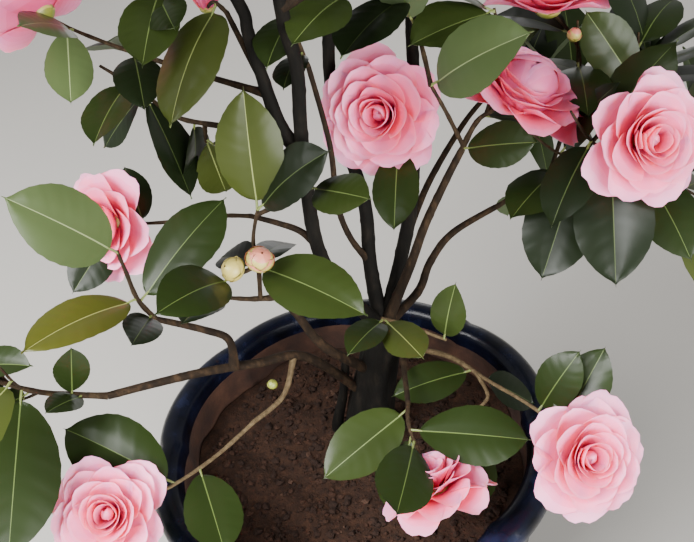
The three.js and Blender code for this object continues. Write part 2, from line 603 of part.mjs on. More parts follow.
// A mass of the crown: shoots set round one stem at the golden angle, each with leaves set the same way.
function crownFoliage({ bough, size, heading }, seed) {
  const roll = dice(seed);
  const end = along(limbs.get(bough).line, 1);
  const start = end.place.clone();
  const out = heading.clone().normalize();
  const top = start.clone().addScaledVector(out, size * 1.15).addScaledVector(UP, size * 0.25);
  const stem = through([start, start.clone().lerp(top, 0.5).addScaledVector(end.heading, 12), top], 2);
  const middle = start.clone().addScaledVector(out, size * 0.72).addScaledVector(UP, size * 0.1);
  const grown = { bough, middle, size, twigs: [{ line: stem, foot: 2.2, tip: 1.5 }], leaves: [], blooms: [] };
  const [rib] = frames([stem[1], stem[3]]);
  for (let k = 0; k < CROWN.shoots; k++) {
    const t = 0.22 + (0.72 * k) / (CROWN.shoots - 1);
    const turn = (GOLDEN * k + 40 * roll()) * DEG;
    const spread = (68 - 30 * t + 10 * roll()) * DEG;
    const length = size * (0.78 - 0.2 * t) * (0.86 + 0.3 * roll());
    const way = spreadFrom(out, sidewaysOf(rib, turn), spread);
    const foot = along(stem, t).place;
    const bend = foot.clone().addScaledVector(way, length * 0.5).addScaledVector(UP, -0.03 * length);
    const tip = foot.clone().addScaledVector(way, length).addScaledVector(UP, 0.1 * length);
    const line = through([foot, bend, tip], 1);
    const shoot = { line, foot: TWIG.foot * 0.8, tip: TWIG.tip };
    const flowers = roll() < CROWN.bloomShare;
    const leaves = leavesRound(line, CROWN.leaves, roll);
    if (![bend, tip].every((p) => isUnseen(p))) continue;
    grown.twigs.push(shoot);
    grown.leaves.push(...leaves);
    if (flowers) grown.blooms.push(bloomAtEnd(line, way.clone().addScaledVector(UP, 0.3).normalize()));
  }
  grown.leaves.push(...leavesRound(stem, CROWN.stemLeaves, roll));
  return grown;
}

// Leaves set round a twig at the golden angle, more along it towards its tip, drooping a little.
function leavesRound(line, count, roll) {
  const first = 360 * roll();
  return Array.from({ length: count }, (_, i) => {
    const t = 0.3 + (0.7 * (i + 0.7)) / count;
    const { place, heading } = along(line, t);
    const turn = (first + GOLDEN * i) * DEG;
    const [rib] = frames([place, place.clone().add(heading)]);
    const sideways = sidewaysOf(rib, turn);
    const spread = (66 - 26 * t + 14 * roll()) * DEG;
    const way = spreadFrom(heading, sideways, spread).addScaledVector(UP, -LEAF.droop * roll()).normalize();
    const length = LEAF.length * (0.86 + 0.26 * roll());
    const tilt = LEAF.tilt * (roll() - 0.5);
    const up = UP.clone().addScaledVector(heading, 0.3).addScaledVector(sideways, tilt).normalize();
    return { base: place, tip: place.clone().addScaledVector(way, length), up, width: length * LEAF.width };
  });
}

// True if a point of the crown is nearer, for its size, to this mass's middle than to any other's.
function keepsToSpace(p, own, all) {
  const share = (mass) => p.distanceTo(mass.middle) / mass.size;
  return share(own) < CROWN.reach && all.every((mass) => mass === own || share(mass) > share(own));
}

// A mass's first twig, cut clear of the bough's tip that it meets.
const stemOf = ({ bough, twigs }) => mainBody(twigSolid(twigs[0]).subtract(limbs.get(bough).grown));

// Fuses a mass. A twig, bloom or leaf that would touch a piece of another owner is skipped.
function fuse(mass, placed) {
  const others = placed.filter((p) => p.owner !== mass.name).map((p) => p.solid);
  const clear = (piece) => others.every((o) => !boxesMeet(piece, o) || piece.minGap(o, 2 * GAP) >= GAP);
  const [, ...twigs] = mass.twigs;
  const rest = [...twigs.map(twigSolid), ...mass.blooms.map(bloomSolid), ...mass.leaves.map(leafSolid)];
  const joined = Manifold.union([mass.stem, ...rest.filter(clear)]).simplify(FUSE_TOLERANCE);
  placed.push({ owner: mass.name, solid: mainBody(joined) });
}

addLimb("trunk", trunkLine, trunk);
addLimb("stem_side", sideStemLine, sideStem);
STEMS.forEach(addBough);
BOUGHS.forEach(addBough);

const crown = CROWN.topMasses.map(([bough, size]) => {
  const heading = along(limbs.get(bough).line, 1).heading.clone().addScaledVector(UP, 0.5).normalize();
  return { name: bough.replace("stem", "foliage_top"), bough, size, heading };
});
CROWN.rings.forEach((ring) => crownRing(ring, crown));

// A leaf or bloom of the crown stays unseen and in its own mass's space.
function trimToSpace(mass, all) {
  const fits = (p) => isUnseen(p) && keepsToSpace(p, mass, all);
  mass.leaves = mass.leaves.filter(({ base, tip }) => fits(tip) && fits(base.clone().lerp(tip, 0.5)));
  mass.blooms = mass.blooms.filter(({ place }) => fits(place) && isUnseen(place, BLOOM.radius));
}

const seenMasses = Object.entries(SHOOTS).map(([name, mass], i) => ({
  name,
  ...seenFoliage(mass, SEEN_SEED + i),
}));
const seenBlooms = seenMasses.flatMap(({ blooms }) => blooms);
seenMasses.forEach((mass) => fillIn(mass, seenBlooms));
const crownMasses = crown.map((mass, i) => ({ name: mass.name, ...crownFoliage(mass, CROWN.seed + i) }));
crownMasses.forEach((mass) => trimToSpace(mass, crownMasses));

// Every piece with its owner: first the pot, soil and limbs, then each mass's first twig, then whole masses.
const bearers = [["pot", pot()], ["soil", soil()], ...[...limbs].map(([name, { solid }]) => [name, solid])];
const placed = bearers.map(([owner, solid]) => ({ owner, solid }));
const masses = [...seenMasses, ...crownMasses].map((mass) => ({ ...mass, stem: stemOf(mass) }));
placed.push(...masses.map(({ name, stem }) => ({ owner: name, solid: stem })));
masses.forEach((mass) => fuse(mass, placed));

// Materials by what a node's name starts with.
const MATERIALS = {
  pot: { color: 0x15183a, roughness: 0.18, metalness: 0 },
  soil: { color: 0x4a2d22, roughness: 0.95, metalness: 0 },
  trunk: { color: 0x2c211b, roughness: 0.85, metalness: 0 },
  stem: { color: 0x33261e, roughness: 0.85, metalness: 0 },
  bough: { color: 0x4b3828, roughness: 0.8, metalness: 0 },
  foliage: { color: 0x2f5220, roughness: 0.35, metalness: 0 },
};

function meshOf(name, solid) {
  const { numProp, numVert, vertProperties, triVerts } = solid.getMesh();
  const places = new Float32Array(numVert * 3);
  for (let i = 0; i < numVert; i++) places.set(vertProperties.subarray(i * numProp, i * numProp + 3), i * 3);
  const geometry = new THREE.BufferGeometry()
    .setAttribute("position", new THREE.BufferAttribute(places, 3))
    .setIndex(new THREE.BufferAttribute(triVerts, 1));
  const mesh = new THREE.Mesh(geometry, new THREE.MeshStandardMaterial(MATERIALS[name.split("_")[0]]));
  mesh.name = name;
  return mesh;
}

// Each owner's last solid is its whole one.
const shrub = new THREE.Group();
const whole = new Map(placed.map(({ owner, solid }) => [owner, solid]));
whole.forEach((solid, name) => shrub.add(meshOf(name, solid)));

export default shrub;
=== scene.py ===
"""A camellia shrub in bloom, growing in a glazed garden pot.

The frame holds the pot, the limbs and one plain solid for each mass of foliage. Here the limbs get their
bark, and each mass grows again by the same rule: the same shoots, leaves and blooms from the same places,
carried on to finer twigs inside the space that its plain solid fills. Sizes are in millimetres until a mesh
is made, and the plant is seen from -Y.
"""

import bpy
import numpy as np
from mathutils import Matrix, Vector


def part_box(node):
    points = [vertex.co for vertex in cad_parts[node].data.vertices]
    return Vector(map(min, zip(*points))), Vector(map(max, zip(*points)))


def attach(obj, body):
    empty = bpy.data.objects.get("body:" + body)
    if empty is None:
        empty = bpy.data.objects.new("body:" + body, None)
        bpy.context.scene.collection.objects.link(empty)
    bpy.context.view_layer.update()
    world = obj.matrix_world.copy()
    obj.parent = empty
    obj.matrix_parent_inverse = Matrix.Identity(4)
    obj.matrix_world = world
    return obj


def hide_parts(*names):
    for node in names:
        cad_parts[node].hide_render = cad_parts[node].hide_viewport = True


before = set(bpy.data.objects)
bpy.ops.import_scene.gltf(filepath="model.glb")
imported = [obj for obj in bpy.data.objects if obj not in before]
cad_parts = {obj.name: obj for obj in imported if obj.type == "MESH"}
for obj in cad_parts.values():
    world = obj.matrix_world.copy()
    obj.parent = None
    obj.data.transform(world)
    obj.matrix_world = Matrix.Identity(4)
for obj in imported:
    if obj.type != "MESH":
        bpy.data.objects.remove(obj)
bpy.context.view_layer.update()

MM = 0.001
GOLDEN = np.radians(137.5)  # from one leaf to the next round its twig
UP = np.array([0.0, 0.0, 1.0])

# The pot, the soil and its crumbs: millimetres, counts, and shares of a radius or a size.
POT = {"height": 300, "rim": 190, "ground": 22, "hub": 30, "inner_foot": 118, "inner_top": 160,
       "inner_power": 0.62, "lobes": 8, "notch_at": 40, "notch_round": 0.004, "lobe_depth": 0.035,
       "plain_below": 4, "lobed_over": 60, "unevenness": 0.5, "true_within": 100, "profile_steps": 3,
       "columns": 240}
SOIL = {"top": 250, "depth": 20, "gap": 0.9, "lumps": 2.6, "fine": 0.5, "level_within": 48, "level_over": 40,
        "rings": 60, "columns": 180}
CRUMBS = {"count": 3200, "reach": 150, "least": 0.9, "spread": 3.8, "flat": 0.75, "raised": 0.2,
          "hollow": 0.7, "lumpy": 0.6, "rows": [0.04, 0.36, 0.7, 0.96], "columns": 6, "shades": [0.55, 0.975]}
# The trunk, the limbs and their bark: millimetres, and the bark's relief as shares of the radius.
TRUNK = {"foot": (18, 28), "radius": 20, "head_radius": 17, "flare": 9, "flare_height": 34}
ROOT_RIBS = {"count": 5, "depth": 0.35}
SIDE_STEM = {"radius": 5.4, "tip_radius": 3.6}
LIMB_SIDES = {"trunk": 40, "stem": 18, "bough": 12}
BARK = {"step": 4, "least_points": 14, "fork_swell": 0.45, "ridges": 0.035, "fine_ridges": 0.03,
        "scars": 0.09, "scars_apart": 17, "scarred_below": 12}
# The usual leaf, bloom and twig: millimetres, and shares of a leaf's length or a bloom's radius.
LEAF = {"length": 88, "width": 0.52, "to_viewer": 0.55, "lean": 0.8, "droop": 0.28, "tilt": 0.4, "belly": 0.6}
BLOOM = {"radius": 46, "back": 0.3, "heart": 0.15, "sink": 5, "apart": 0.8, "shut": 0.09, "upward": 0.3,
         "least_open": 0.7}
TWIG = {"foot": 2.1, "tip": 1.3, "finer_tip": 1.0, "crown_stem": (2.2, 1.5), "crown_share": 0.8,
        "joint": 0.14, "slim": 0.92, "points": 15, "sides": 7}
# The view: the eye's place, degrees down and of roll, and the focal length and middle in its points.
VIEW = {"eye": (19, -516, 902), "pitch": 39, "roll": 8.8, "focal": 838, "middle": (347, 271), "margin": 10}
SENSOR = 36.0  # width of the camera's sensor
SEEDS = {"seen": 2300, "crown": 4100, "tints": 7700, "finer_crown": 7700, "finer_seen": 7800,
         "crumbs": 51, "leaves": 90, "petals": 600}
# Rounds of the view with open air in them: right, down and radius.
OPEN = [(15, 130, 50), (10, 262, 62), (250, 45, 32), (450, 245, 45), (630, 320, 70), (300, 440, 70),
        (612, 45, 34), (468, 424, 22), (556, 385, 18), (186, 515, 24), (60, 60, 30)]
# Three more for the common rule: before a bloom's edge, before the rim's left, and by the outer left shoots.
SPARE = [(430, 100, 16), (150, 470, 10), (212, 170, 12)]

# Stems and boughs: name, what it grows from, radius at foot and tip, seen points, and the unseen rest.
STEMS = [
    ("stem_centre", "trunk", 6.6, 3.4,
     [(386, 330, 44), (370, 262, 60), (364, 200, 80), (333, 100, 110), (328, 0, 125)],
     [(48, 146, 760), (62, 140, 850)]),
    ("stem_left", "trunk", 6.4, 3.4,
     [(380, 332, 34), (345, 292, 22), (317, 245, 14), (302, 143, 2), (297, 70, -4)],
     [(4, -12, 700), (6, -34, 790), (20, -52, 860)]),
    ("stem_right", "trunk", 6.4, 3.4,
     [(392, 326, 46), (405, 240, 62), (412, 190, 78), (415, 110, 96), (411, 0, 112)],
     [(112, 118, 770), (140, 110, 840)]),
    ("stem_far_left", "stem_left", 4.8, 3.0,
     [(302, 150, 3), (281, 127, 8), (261, 74, 16), (248, 33, 24), (237, 0, 30)],
     [(-58, 34, 770), (-90, 30, 840)]),
]
BOUGHS = [
    ("bough_slender", "stem_centre", 2.8, 1.9,
     [(370, 262, 60), (350, 237, 56), (337, 203, 54), (330, 145, 50), (308, 66, 44)]),
    ("bough_upper_left", "stem_far_left", 2.7, 2.0, [(268, 95, 12), (240, 86, 26), (205, 76, 42)]),
    ("bough_outer_left", "stem_left", 3.2, 2.1, [(301, 141, 4), (250, 131, 25), (208, 124, 42)]),
    ("bough_crest", "stem_far_left", 2.4, 1.8, [(262, 78, 16), (252, 62, 22), (237, 33, 34), (227, 13, 46)]),
    ("bough_bloom_left", "stem_left", 2.8, 2.0,
     [(316, 241, 14), (300, 231, 18), (277, 223, 26), (250, 216, 34)]),
    ("bough_bud", "trunk", 5.0, 3.0, [(360, 372, 34), (326, 348, 10), (296, 313, -2), (281, 297, -6)]),
    ("bough_left_low", "trunk", 4.8, 3.1,
     [(356, 398, 32), (307, 357, 20), (258, 363, 0), (189, 375, -20), (108, 396, -34)]),
    ("bough_left_rise", "bough_left_low", 3.6, 2.3,
     [(236, 366, -8), (229, 340, -15), (205, 330, -20), (156, 319, -30)]),
    ("bough_pot_left", "bough_left_low", 2.6, 2.0, [(296, 357, 16), (284, 395, -5), (255, 421, -28)]),
    ("bough_pot_front", "trunk", 3.0, 2.1, [(388, 345, 40), (400, 352, 4), (405, 378, -26), (408, 402, -52)]),
    ("bough_pot_right", "trunk", 3.2, 2.1, [(392, 345, 42), (420, 350, 18), (448, 356, 0), (468, 367, -14)]),
    ("bough_low_centre", "trunk", 2.8, 2.0, [(386, 340, 40), (384, 328, 10), (382, 319, -16)]),
    ("bough_right", "trunk", 4.4, 2.6,
     [(394, 324, 46), (418, 292, 62), (430, 262, 72), (452, 233, 82), (496, 207, 85)]),
    ("bough_upper_right", "trunk", 5.0, 2.8,
     [(393, 325, 42), (408, 272, 34), (425, 225, 36), (446, 180, 40), (461, 151, 44)]),
    ("bough_bloom_centre", "stem_right", 2.6, 2.0, [(413, 168, 84), (404, 158, 76), (399, 148, 70)]),
    ("bough_back", "stem_right", 3.4, 2.2,
     [(405, 236, 64), (430, 180, 110), (462, 126, 150), (486, 96, 176)]),
]


def leaf(at, u, v, length=LEAF["length"], turn=1, facing=None, tint="deep"):
    """A leaf that stands out: how far along its shoot its foot lies, its seen tip, its length, -1 if its tip
    points away from the viewer, how far its upper side is turned right and up from the viewer, its tint."""
    return {"at": at, "tip": (u, v, length, turn), "facing": facing, "tint": tint}


def shoot(start, points, leaves=(), more=0, bloom=None):
    """One seen shoot: where it starts, its points, the leaves that stand out, and how many more it bears.

    It starts at TIP, the bough's end, or at an earlier shoot and how far along that. A bloom has its seen
    place and the way it faces. One unlike the rest also has its size, how open it is, and the share of its
    petals that close over the heart.
    """
    return {"start": start, "points": points, "leaves": leaves, "more": more, "bloom": bloom}


# Foliage that is seen: the bough that bears it, and its shoots.
TIP = None
SHOOTS = {
    "foliage_left_low": ("bough_left_low", [
        shoot(TIP, [(45, 393, -40), (0, 382, -44), (-50, 366, -40)], more=4,
              leaves=[leaf(0.2, 71, 347, 54, 1, (0, 0.2)), leaf(0.15, 45, 413, 46, 1, (0, 0.8)),
                      leaf(0.5, 8, 562, 110, 1, (0, 0.5)), leaf(0.9, 33, 366, 60, 1, (0.1, 0.7))]),
        shoot((0, 0.6), [(-30, 344, -6), (-52, 310, 14)], more=4),
    ]),
    "foliage_left_rise": ("bough_left_rise", [
        shoot(TIP, [(138, 300, -35), (126, 272, -36), (117, 251, -36)],
              leaves=[leaf(0.1, 131, 346, 56, 1, (0.1, 0.5), "dark"), leaf(0.3, 226, 197, 102, -1),
                      leaf(0.35, 21, 353, 92, 1, (-0.3, 0.9), "young"),
                      leaf(0.95, 1, 196, 98, 1, (0, 0.15), "pale")]),
    ]),
    "foliage_bloom_left": ("bough_bloom_left", [
        shoot(TIP, [(216, 216, 44), (156, 223, 60)], bloom=((102, 225, 66), (-0.5, -0.75, 0.45)),
              leaves=[leaf(0.75, 124, 166, 56, -1, tint="dark"),
                      leaf(0.95, 72, 294, 66, -1, (0.1, 0.5), "dark")]),
    ]),
    "foliage_bud": ("bough_bud", [
        shoot(TIP, [(250, 299, -10), (219, 297, -10)], leaves=[leaf(0.95, 181, 324, 60, tint="dark")]),
        shoot((0, 0.35), [(258, 262, -14), (253, 240, -12), (258, 207, -8)],
              leaves=[leaf(0.3, 368, 316, 98, tint="mid"), leaf(0.33, 289, 243, 60, -1, tint="dark"),
                      leaf(0.33, 221, 257, 62, -1, tint="dark"),
                      leaf(0.96, 330, 150, 80, 1, (-0.3, 0.5), "dark"),
                      leaf(0.96, 243, 86, 92, 1, (-0.15, 0.7), "olive")]),
        shoot((1, 0.3), [(244, 272, -22), (230, 279, -32)], leaves=[leaf(0.96, 154, 315, 86, 1, (0, 0.5))]),
        shoot((1, 0.9), [(288, 200, -12), (312, 187, -14)],
              leaves=[leaf(0.96, 371, 199, 66, 1, (0, 0.4), "mid")]),
    ]),
    "foliage_pot_left": ("bough_pot_left", [
        shoot(TIP, [(215, 457, -60), (168, 488, -94)], bloom=((107, 514, -112), (0, -0.62, 0.78)),
              leaves=[leaf(0.45, 226, 556, 84), leaf(0.62, 63, 428, 106, -1, (0, 0.25))], more=2),
    ]),
    "foliage_pot_front": ("bough_pot_front", [
        shoot(TIP, [(410, 430, -80)], bloom=((432, 475, -116), (-0.15, 0.46, 0.87), 0.92, 1.25),
              leaves=[leaf(0.2, 322, 480, 88, tint="mid"), leaf(0.5, 532, 440, 92, -1),
                      leaf(0.6, 396, 517, 90)], more=2),
    ]),
    "foliage_pot_right": ("bough_pot_right", [
        shoot(TIP, [(487, 380, -30), (541, 413, -80)], bloom=((590, 458, -134), (0.2, -0.72, 0.66)),
              leaves=[leaf(0.12, 391, 397, 74), leaf(0.3, 534, 404, 62, -1, tint="dark"),
                      leaf(0.65, 581, 350, 66), leaf(0.8, 606, 346, 66)], more=1),
        shoot((0, 0.2), [(488, 396, -44), (476, 410, -50)], more=2),
    ]),
    "foliage_low_centre": ("bough_low_centre", [
        shoot(TIP, [(404, 324, -24), (446, 340, -22)],
              leaves=[leaf(0.05, 347, 356, 56, 1, (0, 1)), leaf(0.1, 424, 359, 62, 1, (0, 0.5), "olive"),
                      leaf(0.96, 456, 282, 58, tint="mid")]),
    ]),
    "foliage_crest": ("bough_crest", [
        shoot(TIP, [(214, 2, 60)], bloom=((205, -8, 84), (0.1, 0.2, 0.97), 0.5, 0.5), more=3,
              # The olive tint of this leaf is painted light against the shade of the crown above it.
              leaves=[leaf(0.4, 170, 128, 98, tint="olive")]),
    ]),
    "foliage_outer_left": ("bough_outer_left", [
        shoot(TIP, [(174, 116, 56), (138, 89, 76), (100, 66, 96)], more=2,
              leaves=[leaf(0.15, 186, 188, 76, -1, (1.5, 0), "dark"),
                      leaf(0.6, 192, 199, 80, 1, (1.3, 0), "dark"),
                      leaf(0.75, 93, 146, 72), leaf(0.62, 104, 148, 60, -1, tint="dark")]),
        shoot((0, 0.05), [(206, 142, 50)], more=1,
              leaves=[leaf(0.8, 226, 192, 66, -1, (-0.2, 0.5), "olive")]),
    ]),
    "foliage_upper_left": ("bough_upper_left", [
        shoot(TIP, [(150, 58, 68), (112, 45, 92), (74, 30, 112)],
              bloom=((27, -2, 116), (-0.55, 0.5, 0.65)),
              leaves=[leaf(0.35, 145, 111, 66, tint="dark"), leaf(0.8, 71, 105, 66, 1, (0, 0.3), "pale"),
                      leaf(0.75, 17, 26, 70, 1, (0, 0.8), "pale")], more=2),
        shoot((0, 0.35), [(156, 16, 74), (158, -30, 84)], more=3,
              leaves=[leaf(0.75, 142, 68, 78, tint="mid"), leaf(0.7, 175, 30, 60)]),
    ]),
    "foliage_slender": ("bough_slender", [
        shoot(TIP, [(298, 40, 44), (294, 8, 48), (300, -30, 56)], more=4,
              leaves=[leaf(0.2, 283, 90, 48, tint="dark"), leaf(0.6, 266, 70, 60)]),
        shoot((0, 0.5), [(318, 0, 36), (346, -6, 30)], more=2, leaves=[leaf(0.96, 291, 46, 76, tint="mid")]),
    ]),
    "foliage_bloom_centre": ("bough_bloom_centre", [
        shoot(TIP, [], bloom=((380, 113, 72), (-0.4, -0.84, 0.38), 1.1), more=1,
              leaves=[leaf(0.1, 394, 232, 76)]),
    ]),
    "foliage_right": ("bough_right", [
        shoot(TIP, [(540, 180, 70), (590, 152, 24)], bloom=((651, 140, -36), (0.22, -0.84, 0.42)),
              leaves=[leaf(0.25, 507, 216, 66, -1, tint="dark"),
                      leaf(0.6, 541, 281, 92, 1, (0.1, 0.1), "dark"),
                      leaf(0.75, 600, 250, 88, -1, (-0.1, 0.2), "dark"),
                      leaf(0.8, 616, 288, 84, -1, (0, 0.15), "dark")], more=3),
        shoot((0, 0.6), [(630, 96, 60), (652, 60, 74)], more=3,
              leaves=[leaf(0.6, 585, 10, 74, 1, (0, 0.2), "mid"), leaf(0.96, 617, 4, 78, -1, tint="dark")]),
        shoot((0, 0.4), [(580, 60, 96)], bloom=((550, -12, 112), (0.1, 0.1, 0.99)), more=3),
        shoot((0, 0.75), [(668, 176, 30), (720, 146, 44)], more=6, leaves=[leaf(0.3, 692, 262, 84)]),
    ]),
    "foliage_upper_right": ("bough_upper_right", [
        shoot(TIP, [(480, 118, 44)], bloom=((527, 85, 36), (0.42, -0.2, 0.88), 1.1, 1, 0.42),
              leaves=[leaf(0.05, 538, 142, 72, 1, (0, 0.2))], more=2),
        shoot((0, 0.1), [(446, 112, 40), (430, 84, 32)], more=1,
              leaves=[leaf(0.96, 534, 31, 98, 1, (0, 0.3), "pale")]),
        shoot((1, 0.95), [(420, 40, 60), (404, 0, 76), (398, -34, 84)], more=3,
              leaves=[leaf(0.7, 340, 59, 88, tint="dark")]),
        shoot((0, 0.6), [(500, 56, 74), (494, 8, 88)], more=3, leaves=[leaf(0.96, 408, 46, 86, tint="mid")]),
    ]),
    "foliage_back": ("bough_back", [
        shoot(TIP, [(504, 70, 190), (520, 20, 214)], more=6),
        shoot((0, 0.3), [(540, 100, 180), (584, 70, 190)], more=6),
    ]),
}

# The crown above the view: boughs in a ring round the stems, each with its own mass of foliage.
CROWN = {
    "middle": (28, 62), "foot_near": ["stem_centre", "stem_left", "stem_right", "stem_far_left"],
    "tops": [("stem_centre", 128), ("stem_left", 118), ("stem_right", 118), ("stem_far_left", 116)],
    "ring": {"count": 7, "from": 12, "foot": 706, "stagger": 14, "reach": 122, "rise": 66, "sag": 0.1,
             "size": 122},
    "foot_radius": 3.4, "tip_radius": 2.2, "shoots": 5, "leaves": 3, "stem_leaves": 2,
    "bloom_share": 0.36, "lift": 0.35, "reach": 1.5,
}
# What the finer growth adds to each shoot: side twigs, and the leaves on each.
FINER = {"twigs": 3, "from": 0.3, "over": 0.6, "spread": 38, "spread_varies": 24, "length": 0.62,
         "less_at_tip": 0.5, "least": 0.8, "varies": 0.4, "sag": 2, "rise": 3,
         "leaves": 4, "leaf_size": 0.9, "first_leaf": 0.2}
DENSE = ("foliage_right", "foliage_back", "foliage_left_low")  # the seen masses that get finer growth too
# How the leaves of the common rule stand on a twig: degrees off it, share of the usual length, the lean of
# their upper sides towards the twig's tip, and how far apart their middles stay.
LEAF_RULE = {"from": 0.3, "step_in": 0.7, "spread": 66, "less_at_tip": 26, "spread_varies": 14,
             "least": 0.86, "varies": 0.26, "forward": 0.3, "apart_mm": 13}
# A crown mass's stem and shoots, in shares of the mass's size, and how the shoots stand, in degrees.
CROWN_STEM = {"reach": 1.15, "rise": 0.25, "bend_mm": 12, "upward": 0.5, "middle_out": 0.72, "middle_up": 0.1}
CROWN_SHOOT = {"from": 0.22, "over": 0.72, "turn": 40, "spread": 68, "less_at_top": 30, "spread_varies": 10,
               "length": 0.78, "shorter_at_top": 0.2, "least": 0.86, "varies": 0.3, "sag": 0.03, "rise": 0.1}
LIMB_STEPS = 8  # from one point of a limb's line to the next
TWIG_STEPS = 6
TINT_SHARES = (("dark", 0.4), ("deep", 0.78), ("mid", 0.94), ("olive", 1.0))  # of the sprays, added up
BLOOM_SEAT = BLOOM["back"] * BLOOM["radius"] - BLOOM["sink"]  # from a bloom's middle back to its twig's end


def vec(*p):
    """Three numbers as an array of floats."""
    return np.array(p, float)


def unit(v):
    """Vectors along the last axis, brought to a length of one."""
    return v / np.linalg.norm(v, axis=-1, keepdims=True)


def between(low, high, share):
    """The value that lies such a share of the way from low to high."""
    return low + (high - low) * share


def smooth(t):
    """Rises from 0 to 1 as t does, level at both ends: t squared times (3 - 2 t)."""
    s = np.clip(t, 0, 1)
    return s * s * (3 - 2 * s)


def dice(seed):
    """A source of numbers from 0 to 1 that gives the same row for the same seed: a 32-bit mixing hash."""
    mask = 0xFFFFFFFF
    state = [seed & mask]

    def roll():
        state[0] = (state[0] + 0x6D2B79F5) & mask
        t = state[0]
        t = ((t ^ (t >> 15)) * (t | 1)) & mask
        t ^= (t + ((t ^ (t >> 7)) * (t | 61) & mask)) & mask
        return (t ^ (t >> 14)) / 4294967296

    return roll


def sight_frame():
    """The eye and the view's directions: ahead, across to the right, and up, turned by pitch and roll."""
    pitch, roll = np.radians(VIEW["pitch"]), np.radians(VIEW["roll"])
    ahead = vec(0, np.cos(pitch), -np.sin(pitch))
    above = vec(0, np.sin(pitch), np.cos(pitch))
    across = vec(1, 0, 0)
    return {"eye": vec(*VIEW["eye"]), "ahead": ahead,
            "across": across * np.cos(roll) - above * np.sin(roll),
            "above": above * np.cos(roll) + across * np.sin(roll)}


SIGHT = sight_frame()


def ray_through(u, v):
    """The line of sight through view point (u, v), one long straight ahead."""
    right = (u - VIEW["middle"][0]) / VIEW["focal"]
    down = (v - VIEW["middle"][1]) / VIEW["focal"]
    return SIGHT["ahead"] + SIGHT["across"] * right - SIGHT["above"] * down


def seen(point):
    """The place seen at view point (u, v), y behind the pot's axis."""
    ray = ray_through(*point[:2])
    return SIGHT["eye"] + ray * (point[2] - SIGHT["eye"][1]) / ray[1]


def leaf_tip(base, u, v, length=LEAF["length"], turn=1):
    """Where a leaf of this length ends if its tip is seen at (u, v), nearer than its foot or farther."""
    ray = unit(ray_through(u, v))
    to_base = base - SIGHT["eye"]
    reach = to_base @ ray
    slack = np.sqrt(max(0, length**2 - (to_base @ to_base - reach**2)))
    return SIGHT["eye"] + ray * (reach - turn * slack)


def pictured(p):
    """Where a place is seen from the view's middle, right and up, and how many points a millimetre takes."""
    d = p - SIGHT["eye"]
    scale = VIEW["focal"] / (d @ SIGHT["ahead"])
    return (d @ SIGHT["across"]) * scale, (d @ SIGHT["above"]) * scale, scale


def is_unseen(p, radius=0):
    """True past the top or the side edges of the view, for a place and all that is so near to it."""
    right, up, scale = pictured(p)
    edge = VIEW["margin"] + radius * scale
    return abs(right) > VIEW["middle"][0] + edge or up > VIEW["middle"][1] + edge


def is_in_open(p):
    """True for a place that is seen in one of the open rounds."""
    right, up, _ = pictured(p)
    u, v = VIEW["middle"][0] + right, VIEW["middle"][1] - up
    return any(np.hypot(u - x, v - y) < r for x, y, r in OPEN + SPARE)


def through(points, steps):
    """A smooth line through points: cubic pieces whose slopes are half the step between the neighbours."""
    p = np.array(points, float)
    before = p[np.maximum(np.arange(len(p)) - 1, 0)]
    after = p[np.minimum(np.arange(len(p)) + 1, len(p) - 1)]
    slope = (after - before) / 2
    t = (np.arange(steps) / steps)[None, :, None]
    line = (p[:-1, None] * (2 * t**3 - 3 * t**2 + 1) + slope[:-1, None] * (t**3 - 2 * t**2 + t)
            + p[1:, None] * (3 * t**2 - 2 * t**3) + slope[1:, None] * (t**3 - t**2))
    return np.concatenate([line.reshape(-1, 3), p[-1:]])


def along(line, t):
    """The place and the heading at share t of a line's steps."""
    x = min(max(t * (len(line) - 1), 0), len(line) - 1 - 1e-6)
    i = int(x)
    step = line[i + 1] - line[i]
    return line[i] + step * (x - i), unit(step)


def evenly(line, count):
    """A line drawn again with so many points, at even shares of its steps."""
    x = np.linspace(0, len(line) - 1, count)
    return np.stack([np.interp(x, np.arange(len(line)), line[:, k]) for k in range(3)], axis=1)


def rib(heading):
    """Two directions square to a heading: the first as near to straight up as can be."""
    side = UP if abs(heading[2]) < 0.9 else vec(1, 0, 0)
    side = unit(side - heading * (side @ heading))
    return side, np.cross(side, heading)


def turned(side, other, turn):
    """A direction square to a heading, turned round it."""
    return side * np.cos(turn) + other * np.sin(turn)


def spread_from(heading, sideways, angle):
    """The direction that leaves a heading at an angle, towards a direction square to it."""
    return heading * np.cos(angle) + sideways * np.sin(angle)


def limb(points, foot, tip, **more):
    """A limb: the smooth line through its points, and its radius at foot and tip."""
    return {"line": through(points, LIMB_STEPS), "foot": foot, "tip": tip, **more}


